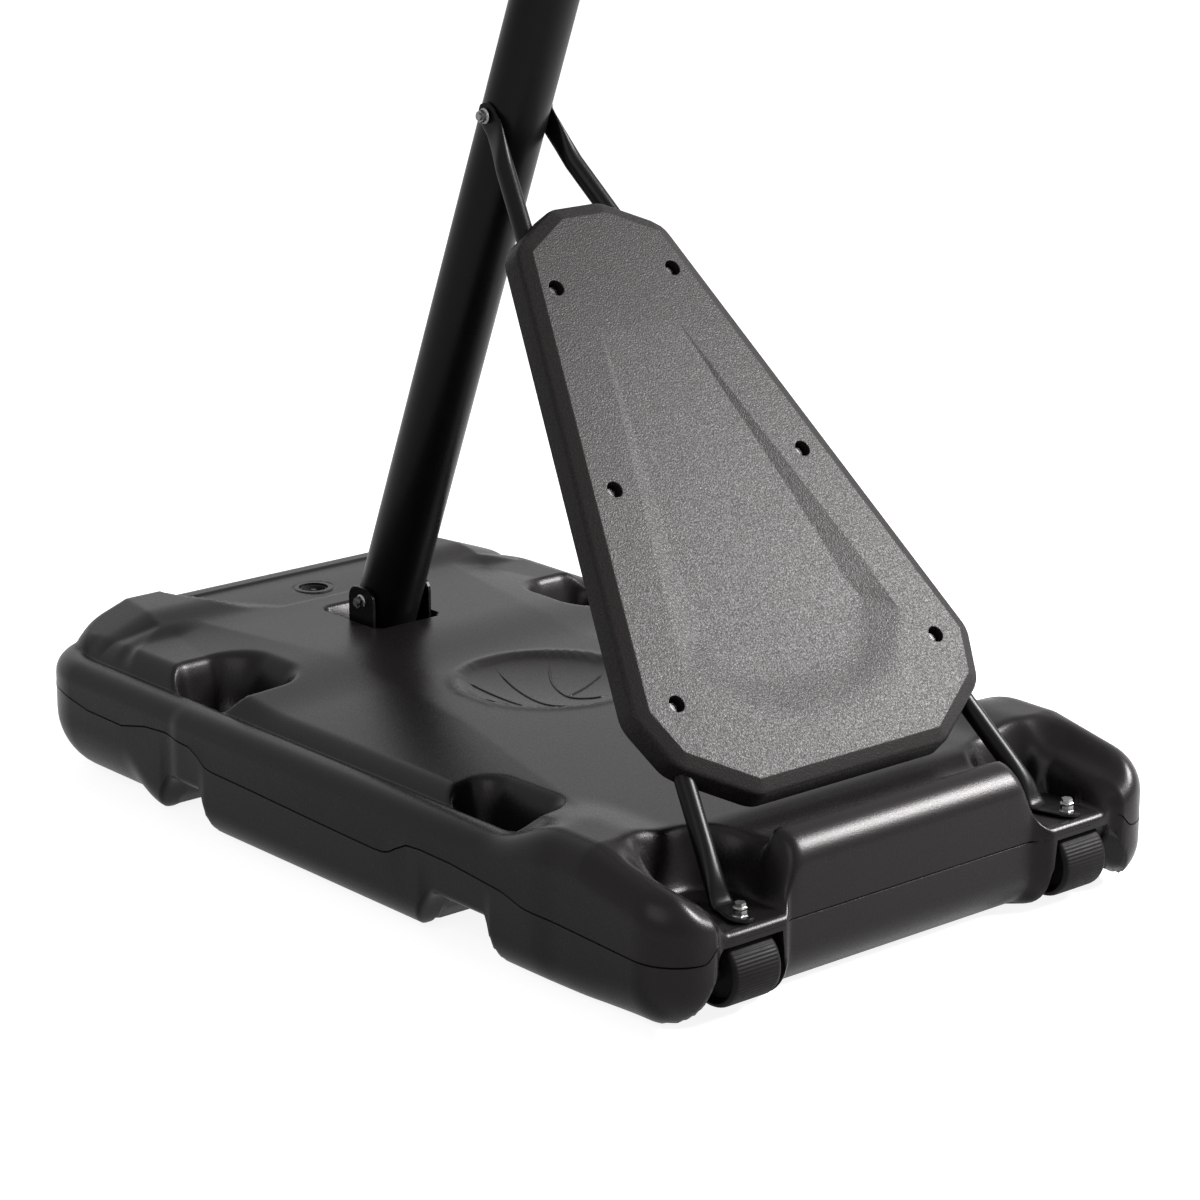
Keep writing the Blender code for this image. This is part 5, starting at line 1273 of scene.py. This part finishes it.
    def ring(self, x: Array, s: Array, spread: float) -> tuple[Array, Array]:
        """Moves places on the face's border outward: straight sides shift square to themselves, corners become arcs.

        The arc's radius is corner_radius + corner_growth * spread, and a place within the turn length of a corner
        lies on its arc.

        Args:
            x: Across, on the border.
            s: Down, on the border.
            spread: How far out.

        Returns:
            The moved x and s.
        """
        half = np.array(self.side_line)
        corners = np.vstack([half, half[::-1] * np.array((-1.0, 1.0))])
        way = np.roll(corners, -1, axis=0) - corners
        length = np.linalg.norm(way, axis=1)
        way = way / length[:, None]
        out = np.stack([way[:, 1], -way[:, 0]], axis=1)
        before = np.roll(out, 1, axis=0)
        radius = self.corner_radius + self.corner_growth * spread
        middle = out + before
        middle /= np.linalg.norm(middle, axis=1, keepdims=True)
        cosine = np.einsum("ij,ij->i", middle, out)
        centre = corners + middle * ((spread - radius) / cosine)[:, None]
        first, last = centre + before * radius, centre + out * radius
        offset = np.stack([x, s], axis=-1)[:, None] - corners[None]
        along = np.einsum("pij,ij->pi", offset, way)
        off = np.abs(np.einsum("pij,ij->pi", offset, out))
        off = off + np.clip(-along, 0.0, None) + np.clip(along - length[None], 0.0, None)
        side = off.argmin(axis=1)
        run = along[np.arange(len(side)), side]
        after = (side + 1) % len(corners)
        share = np.clip((run - self.turn) / (length[side] - 2 * self.turn), 0.0, 1.0)[:, None]
        moved = last[side] * (1 - share) + first[after] * share
        arcs = ((side, 0.5 + run / (2 * self.turn)), (after, 0.5 - (length[side] - run) / (2 * self.turn)))
        for corner, share in arcs:
            inside = (share >= 0.0) & (share <= 1.0)
            spoke = before[corner] * (1 - share)[:, None] + out[corner] * share[:, None]
            spoke /= np.maximum(np.linalg.norm(spoke, axis=1, keepdims=True), 1e-9)
            moved = np.where(inside[:, None], centre[corner] + spoke * radius, moved)
        return moved[:, 0], moved[:, 1]

    def place(self, x: Array, s: Array, z: Array) -> Array:
        """Takes places from the panel's own frame to the row frame.

        Args:
            x: Across.
            s: Down the slope.
            z: Out of the face.

        Returns:
            (..., 3) positions.
        """
        turn = np.array(Matrix.Rotation(self.tilt, 3, "X"))
        return np.stack([x, -s, z], axis=-1) @ turn.T + np.array(self.origin)

    def build(self) -> bpy.types.Object:
        """Makes the panel: the face, its bevel and skirt, and the inside of the shell with the cups' outsides.

        Returns:
            The panel.
        """
        skin = Skin()
        sheets = []
        stretch = self.back_cup[-1][0] / self.cup_edge
        for cup, spread, drop in ((self.face_cup, 1.0, 0.0), (self.back_cup, stretch, self.wall)):
            x, s, away = self.grid(spread)
            height = self.relief(x, s) - drop + line_at(cup, away)
            sheets.append((x, s, skin.add(self.place(x, s, height))))
        (x, s, face), (_, _, back) = sheets
        border_x, border_s = border_of(x), border_of(s)
        rings = [self.place(*self.ring(border_x, border_s, spread), np.full_like(border_x, fall))
                 for spread, fall in self.skirt]
        rows = np.vstack([border_of(face)[None], skin.add(np.stack(rings)), border_of(back)[None]])
        skin.faces += [quads(face, False), quads(rows[::-1], True), quads(back[::-1], False)]
        return self.show(skin, "shield_face", Slot.PANEL, ["shield_panel"], 22.0)


def unit(vector: Array) -> Array:
    """The vector at length 1."""
    return vector / np.linalg.norm(vector)


def oval(wide: Array, thin: Array, half_wide: float, half_thin: float, power: float, count: int = 40) -> Array:
    """Superellipse ring sgn(cos a)|cos a|^p W u + sgn(sin a)|sin a|^p T v about the origin.

    Args:
        wide: Unit direction u.
        thin: Unit direction v.
        half_wide: Half-width W along u.
        half_thin: Half-width T along v.
        power: The power p, 1 for an ellipse and less for a squarer ring.
        count: Points round the ring.

    Returns:
        (count, 3) positions.
    """
    angle = np.arange(count) * 2 * np.pi / count
    along = np.sign(np.cos(angle)) * np.abs(np.cos(angle)) ** power * half_wide
    across = np.sign(np.sin(angle)) * np.abs(np.sin(angle)) ** power * half_thin
    return along[:, None] * wide + across[:, None] * thin


@dataclass
class Strut(Piece):
    """One bent support tube: a flattened ear at the pole, a round run and a flat foot on the tank's ledge."""

    sign: float
    radius: float = 0.0127
    flat_half: float = 0.0175
    flat_thick: float = 0.0058
    ear: Spot = (0.0460, 0.1138, 0.9478)
    top: Spot = (0.0376, 0.1223, 0.950)
    foot: Spot = (0.2746, -0.5976, 0.120)
    pin: Spot = (0.2810, -0.6380, 0.1182)
    tip: tuple[float, ...] = (0.0, 0.45, 0.72, 0.88, 0.96, 0.995)
    tip_power: float = 0.62
    ear_power: float = 0.66
    ear_run: float = 0.020
    straight: Spot = (0.082, 0.5, 0.925)
    bend_middle: float = 0.972
    bend_steps: int = 13

    def build(self) -> bpy.types.Object:
        """Makes the strut as one skin of superellipse sections along its run.

        Returns:
            The strut.
        """
        side = np.array((self.sign, 1.0, 1.0))
        ear, top, foot, pin = (np.array(p) * side for p in (self.ear, self.top, self.foot, self.pin))
        down = unit(foot - top)
        lateral = np.array((self.sign, 0.0, 0.0))
        fore = unit(np.array((0.0, down[1], down[2])))
        flat_wide = np.array((0.0, fore[2], -fore[1]))
        round_wide = unit(flat_wide - down * (flat_wide @ down))
        round_thin = unit(np.cross(down, round_wide))
        round_thin *= np.sign(round_thin @ lateral)
        run = unit((pin - foot) * np.array((1.0, 1.0, 0.0)))
        foot_wide = unit(np.array((-run[1], run[0], 0.0)))
        foot_wide *= np.sign(foot_wide @ round_thin)
        up = UP * (1.0 if round_wide[2] > 0 else -1.0)
        half = self.flat_thick / 2
        heel = np.array((foot[0] - self.sign * 0.004, foot[1] + 0.002, pin[2]))
        keys: list[tuple[Array, Array, Array, float, float, float]] = []
        tips = [(share, max(self.flat_half * math.sqrt(1 - share**2), 0.001)) for share in self.tip]
        for share, width in tips[::-1]:
            keys.append((ear - fore * self.flat_half * share, flat_wide, lateral, width, half, self.tip_power))
        middle = ear + fore * self.ear_run
        keys.append((middle, flat_wide, lateral, self.flat_half, half, self.ear_power))
        straight = [top + (foot - top) * share for share in self.straight]
        for share in (0.2, 0.4, 0.6, 0.8):
            ease = share * share * (3 - 2 * share)
            keys.append((middle + (straight[0] - middle) * share, unit(flat_wide * (1 - ease) + round_wide * ease),
                         unit(lateral * (1 - ease) + round_thin * ease),
                         self.flat_half + (self.radius - self.flat_half) * ease,
                         half + (self.radius - half) * ease, self.ear_power + (1.0 - self.ear_power) * ease))
        keys += [(place, round_wide, round_thin, self.radius, self.radius, 1.0) for place in straight]
        bend = [straight[-1], top + (foot - top) * self.bend_middle, heel + UP * 0.0010, heel + run * 0.014]
        path = curve_through(bend, self.bend_steps)[1:-1]
        for index, place in enumerate(path):
            ease = (index + 1) / (len(path) + 1)
            ease = ease * ease * (3 - 2 * ease)
            keys.append((place, unit(round_wide * (1 - ease) + up * ease),
                         unit(round_thin * (1 - ease) + foot_wide * ease),
                         self.radius + (half - self.radius) * ease,
                         self.radius + (self.flat_half - self.radius) * ease, 1.0 - 0.36 * ease))
        keys.append((heel + run * 0.016, up, foot_wide, half, self.flat_half, self.tip_power))
        for share, width in tips:
            keys.append((pin + run * self.flat_half * share, up, foot_wide, half, width, self.tip_power))
        skin = Skin()
        skin.rings(np.array([key[0] + oval(*key[1:]) for key in keys]))
        name = "strut_right" if self.sign > 0 else "strut_left"
        return self.show(skin, f"{name}_tube", Slot.STEEL, [name], 50.0)


@dataclass
class Pole(Piece):
    """The telescoping pole's three tubes: two lower lengths with a swaged joint, and the sliding inner length."""

    radius: float = 0.0444
    inner: float = 0.0381
    wall: float = 0.0020
    edge: float = 0.0005
    lower_span: Pair = (-0.055, 1.120)
    middle_span: Pair = (1.020, 1.870)
    swage_span: Pair = (1.122, 1.136)
    upper_span: Pair = (0.800, 2.720)

    def turned(self, name: str, profile: Pairs, body: Body) -> bpy.types.Object:
        """One tube turned on the pole's axis.

        Args:
            name: CAD node it stands for.
            profile: (radius, distance above the foot bolt) pairs, which return on the tube's inside.
            body: What it rides on.

        Returns:
            The tube.
        """
        skin = Skin()
        skin.rings(revolve(profile, POLE_FOOT, POLE_RUN, 128), True)
        return self.show(skin, f"{name}_tube", Slot.STEEL, [name], 32.0, body)

    def plain(self, radius: float, span: Pair) -> Pairs:
        """Profile of a straight tube with chamfered ends.

        Args:
            radius: Outer radius.
            span: Its lower and upper end.

        Returns:
            (radius, distance) pairs.
        """
        (low, high), edge = span, self.edge
        return ((radius - self.wall, low), (radius - edge, low), (radius, low + edge), (radius, high - edge),
                (radius - edge, high), (radius - self.wall, high))

    def build(self) -> None:
        """Makes every length of the pole."""
        outer, wall, edge = self.radius, self.wall, self.edge
        swage = outer - wall - 0.0005
        (start, end), (neck, shoulder) = self.middle_span, self.swage_span
        middle = ((swage - wall, start), (swage, start), (swage, neck), (outer - edge, shoulder - 0.002),
                  (outer, shoulder), (outer, end - edge), (outer - edge, end), (outer - wall, end),
                  (outer - wall, shoulder + 0.004), (swage - wall, neck + 0.004))
        self.turned("pole_lower", self.plain(outer, self.lower_span), Body.STAND)
        self.turned("pole_middle", middle, Body.STAND)
        self.turned("pole_upper", self.plain(self.inner, self.upper_span), Body.UPPER)


@dataclass
class Wheel(Piece):
    """A moulded wheel: tread with fine cross ribs, shoulders, dished hub faces and a bore for the axle."""

    sign: float
    centre: Pair = (-0.630, 0.0565)
    reach: Pair = (0.245, 0.320)
    side: tuple[Spot, ...] = (
        (0.0056, 0.004, 0.0), (0.012, 0.0035, 0.0), (0.013, 0.009, 0.0), (0.034, 0.010, 0.0), (0.0365, 0.002, 0.0),
        (0.0390, 0.0, 0.0), (0.0425, 0.0012, 0.0), (0.0440, 0.0045, 0.4), (0.0441, 0.0065, 1.0),
    )
    ribs: int = 60
    rib_height: float = 0.0006

    def build(self) -> bpy.types.Object:
        """Makes the wheel: its side's (radius, step in from the end, share of rib) rows, and the same mirrored.

        Over the tread the radius is R + h (0.5 + 0.5 cos(n a)), elsewhere it is round.

        Returns:
            The wheel.
        """
        count = self.ribs * 6
        low, high = self.reach
        profile = [(r, low + step, ridge) for r, step, ridge in self.side]
        profile += [(r, high - step, ridge) for r, step, ridge in self.side[::-1]]
        angle = np.arange(count) * 2 * np.pi / count
        wave = self.rib_height * (0.5 + 0.5 * np.cos(self.ribs * angle))
        rings = [np.column_stack([np.full(count, self.sign * x), self.centre[0] + (r + ridge * wave) * np.cos(angle),
                                  self.centre[1] + (r + ridge * wave) * np.sin(angle)]) for r, x, ridge in profile]
        skin = Skin()
        skin.rings(np.array(rings), True)
        body = Body.WHEEL_RIGHT if self.sign > 0 else Body.WHEEL_LEFT
        return self.show(skin, f"{body.value}_tread", Slot.TREAD, [body.value], 50.0, body)


@dataclass
class Net(Piece):
    """Knotted diamond net: twisted cords that leave twelve pegs, cross in rows and draw in towards the hem."""

    centre: Pair = (0.0, -1.4795)
    top: float = 2.2720
    length: float = 0.420
    pegs: int = 12
    rows: int = 6
    top_radius: float = 0.2190
    low_radius: float = 0.135
    cord: float = 0.0024
    weave: float = 0.0016
    steps: int = 14
    twist: Pair = (0.12, 40.0)
    knot_profile: Pairs = ((0.6, -2.2), (1.6, -1.6), (2.0, 0.0), (1.6, 1.6), (0.6, 2.2))

    def knot(self, row: Array | float, turn: Array | float) -> Array:
        """Place on the net's bell: radius falls as low + (top - low)(1 - s)^1.6 with s the share of the depth.

        Args:
            row: Row of knots, 0 at the pegs.
            turn: Place round the net, counted in pegs.

        Returns:
            (..., 3) positions.
        """
        share = np.clip(np.asarray(row, float) / self.rows, 0.0, 1.0)
        radius = self.low_radius + (self.top_radius - self.low_radius) * (1 - share) ** 1.6
        angle = np.asarray(turn, float) * 2 * np.pi / self.pegs
        return np.stack([self.centre[0] + radius * np.cos(angle), self.centre[1] + radius * np.sin(angle),
                         self.top - self.length * share], axis=-1)

    def build(self) -> bpy.types.Object:
        """Makes two families of cords, one leaning each way, with small knots where they cross.

        Returns:
            The net.
        """
        skin = Skin()
        share = np.linspace(0.0, self.rows, self.rows * self.steps + 1)
        swell, turns = self.twist
        radius = self.cord * (1 + swell * np.cos(share * turns))
        for lead in (1.0, -1.0):
            for peg in range(self.pegs):
                path = self.knot(share, peg + 0.5 + lead * (share / 2))
                spoke = path - np.array((*self.centre, 0.0))
                spoke[:, 2] = 0.0
                weave = self.weave * lead * np.cos(np.pi * share)
                path = path + spoke / np.linalg.norm(spoke, axis=1, keepdims=True) * weave[:, None]
                skin.rings(sweep(path, radius, 8))
        profile = [(self.cord * r, self.cord * z) for r, z in self.knot_profile]
        for row in range(1, self.rows + 1):
            for peg in range(self.pegs):
                skin.rings(revolve(profile, self.knot(row, peg + 0.5 + row / 2), UP, 10))
        return self.show(skin, "net_cords", Slot.NYLON, ["net"], 60.0, Body.RIM)


@dataclass
class Studio:
    """White sweep, soft lights and the camera."""

    camera: Spot = (-3.10983, -3.69039, 1.73900)
    forward: Spot = (0.62342, 0.72846, -0.28406)
    focal: float = 3783.4
    frame: float = 1200.0
    sensor: float = 36.0
    room: float = 0.12
    backdrop: float = 1.0
    ramp: Pair = (-0.25, 0.75)
    lamps: tuple[tuple[str, Spot, Spot, float, float], ...] = (
        ("key", (3.00, -2.25, 2.75), (0.0, -0.3, 0.35), 1.5, 560.0),
        ("fill", (-3.4, -1.4, 2.6), (0.0, 0.0, 0.3), 2.4, 40.0),
    )
    floor_half: float = 30.0
    floor_height: float = -0.0005
    floor_glow: float = 0.50
    floor_strengths: tuple[tuple[str, float], ...] = (
        ("Is Camera Ray", 0.88), ("Is Transmission Ray", 0.88), ("Is Glossy Ray", 0.50),
    )

    def build(self) -> None:
        """Makes the floor, the world, the lamps and the camera."""
        self.floor()
        self.world()
        for name, place, target, size, power in self.lamps:
            self.lamp(name, place, target, size, power)
        self.view()

    def floor(self) -> None:
        """The floor: a mid grey reflector that glows for every ray, and more for the eye and through glass."""
        mesh = bpy.data.meshes.new("floor")
        size, height = self.floor_half, self.floor_height
        corners = [(-size, -size, height), (size, -size, height), (size, size, height), (-size, size, height)]
        mesh.from_pydata(corners, [], [(0, 1, 2, 3)])
        item = bpy.data.objects.new("floor", mesh)
        bpy.context.scene.collection.objects.link(item)
        made = bpy.data.materials.new("floor")
        nodes = Nodes(made)
        path = nodes.add("LightPath", {}).node.outputs
        lift = self.floor_glow
        for ray, strength in self.floor_strengths:
            lift = nodes.calc("MAXIMUM", nodes.calc("MULTIPLY", path[ray], strength), lift)
        nodes.fill(made.node_tree.nodes["Principled BSDF"], {
            "Base Color": (0.40, 0.40, 0.40, 1.0), "Roughness": 0.9, "Specular IOR Level": 0.0,
            "Emission Color": (1.0, 1.0, 1.0, 1.0), "Emission Strength": lift})
        mesh.materials.append(made)
        item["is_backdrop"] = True

    def world(self) -> None:
        """Surroundings: white for the eye, in mirrors and through glass, and as light a bright backdrop and dim room.

        The light's strength runs from dim to bright with the share of each direction that points at the backdrop.
        """
        made = bpy.data.worlds.new("studio")
        nodes = Nodes(made)
        way = Vector((*self.forward[:2], 0.0)).normalized()
        share = nodes.add("VectorMath", {0: nodes.add("TexCoord", {}, "Generated"), 1: way}, "Value",
                          operation="DOT_PRODUCT")
        low, high = self.ramp
        ramp = nodes.add("MapRange", {"Value": share, "From Min": low, "From Max": high, "To Min": self.room,
                                      "To Max": self.backdrop}, "Result", interpolation_type="SMOOTHSTEP")
        path = nodes.add("LightPath", {}).node.outputs
        seen = nodes.calc("MAXIMUM", path["Is Camera Ray"], path["Is Glossy Ray"])
        seen = nodes.calc("MAXIMUM", seen, path["Is Transmission Ray"])
        strength = nodes.add("Mix", {"Factor": seen, "A": ramp, "B": 1.0}, "Result")
        nodes.fill(made.node_tree.nodes["Background"], {"Strength": strength, "Color": (1.0, 1.0, 1.0, 1.0)})
        bpy.context.scene.world = made

    def lamp(self, name: str, place: Spot, target: Spot, size: float, power: float) -> None:
        """A square soft lamp.

        Args:
            name: Its name.
            place: Where it stands.
            target: What it points at.
            size: Side in metres.
            power: Watts.
        """
        light = bpy.data.lights.new(name, "AREA")
        light.shape = "SQUARE"
        light.size = size
        light.energy = power
        item = bpy.data.objects.new(name, light)
        item.location = place
        item.rotation_euler = (Vector(target) - Vector(place)).to_track_quat("-Z", "Y").to_euler()
        bpy.context.scene.collection.objects.link(item)

    def view(self) -> None:
        """The photograph's camera: lens = focal pixels * sensor width / frame pixels."""
        data = bpy.data.cameras.new("camera")
        data.lens = self.focal * self.sensor / self.frame
        data.sensor_width = self.sensor
        data.clip_end = 60.0
        item = bpy.data.objects.new("camera", data)
        item.location = self.camera
        item.rotation_euler = Vector(self.forward).to_track_quat("-Z", "Y").to_euler()
        bpy.context.scene.collection.objects.link(item)
        bpy.context.scene.camera = item


@dataclass
class Hoop:
    """The whole hoop: builds every dressed piece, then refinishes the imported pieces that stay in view."""

    palette: Palette = field(default_factory=Palette)

    def build(self) -> None:
        """Makes the pieces in order."""
        tank = BaseTank(self.palette)
        tank.build()
        BallRelief(self.palette, tank).build()
        ShieldPanel(self.palette).build()
        for sign in (-1.0, 1.0):
            Strut(self.palette, sign).build()
            Wheel(self.palette, sign).build()
        Pole(self.palette).build()
        Net(self.palette).build()

    def refinish(self, nodes: dict[str, bpy.types.Object]) -> None:
        """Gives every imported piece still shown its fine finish.

        Args:
            nodes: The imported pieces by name.
        """
        slots = {slot.value: slot for slot in Slot}
        for item in nodes.values():
            if item.hide_render:
                continue
            current = item.data.materials[0].name.split(".")[0] if item.data.materials else ""
            # The shield's screws take the finish darkened to paint the shade in their cups.
            found = Slot.SCREW if item.name.startswith("shield_bolt") else slots.get(current, Slot.STEEL)
            item.data.materials.clear()
            item.data.materials.append(self.palette.material(found))
            LOG.info("%s: packed shape, finish %s", item.name, found.value)


def main() -> None:
    """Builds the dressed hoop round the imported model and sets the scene."""
    logging.basicConfig(level=logging.INFO, format="%(message)s")
    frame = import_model()
    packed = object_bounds()
    hoop = Hoop()
    hoop.build()
    hoop.refinish(frame["nodes"])
    Studio().build()
    bpy.context.scene.view_settings.view_transform = "Standard"
    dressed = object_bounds()
    sizes = {"packed": [list(corner) for corner in packed], "dressed": [list(corner) for corner in dressed]}
    for key, value in sizes.items():
        LOG.info("%s %s", key, [[round(v, 4) for v in corner] for corner in value])


if __name__ == "__main__":
    main()
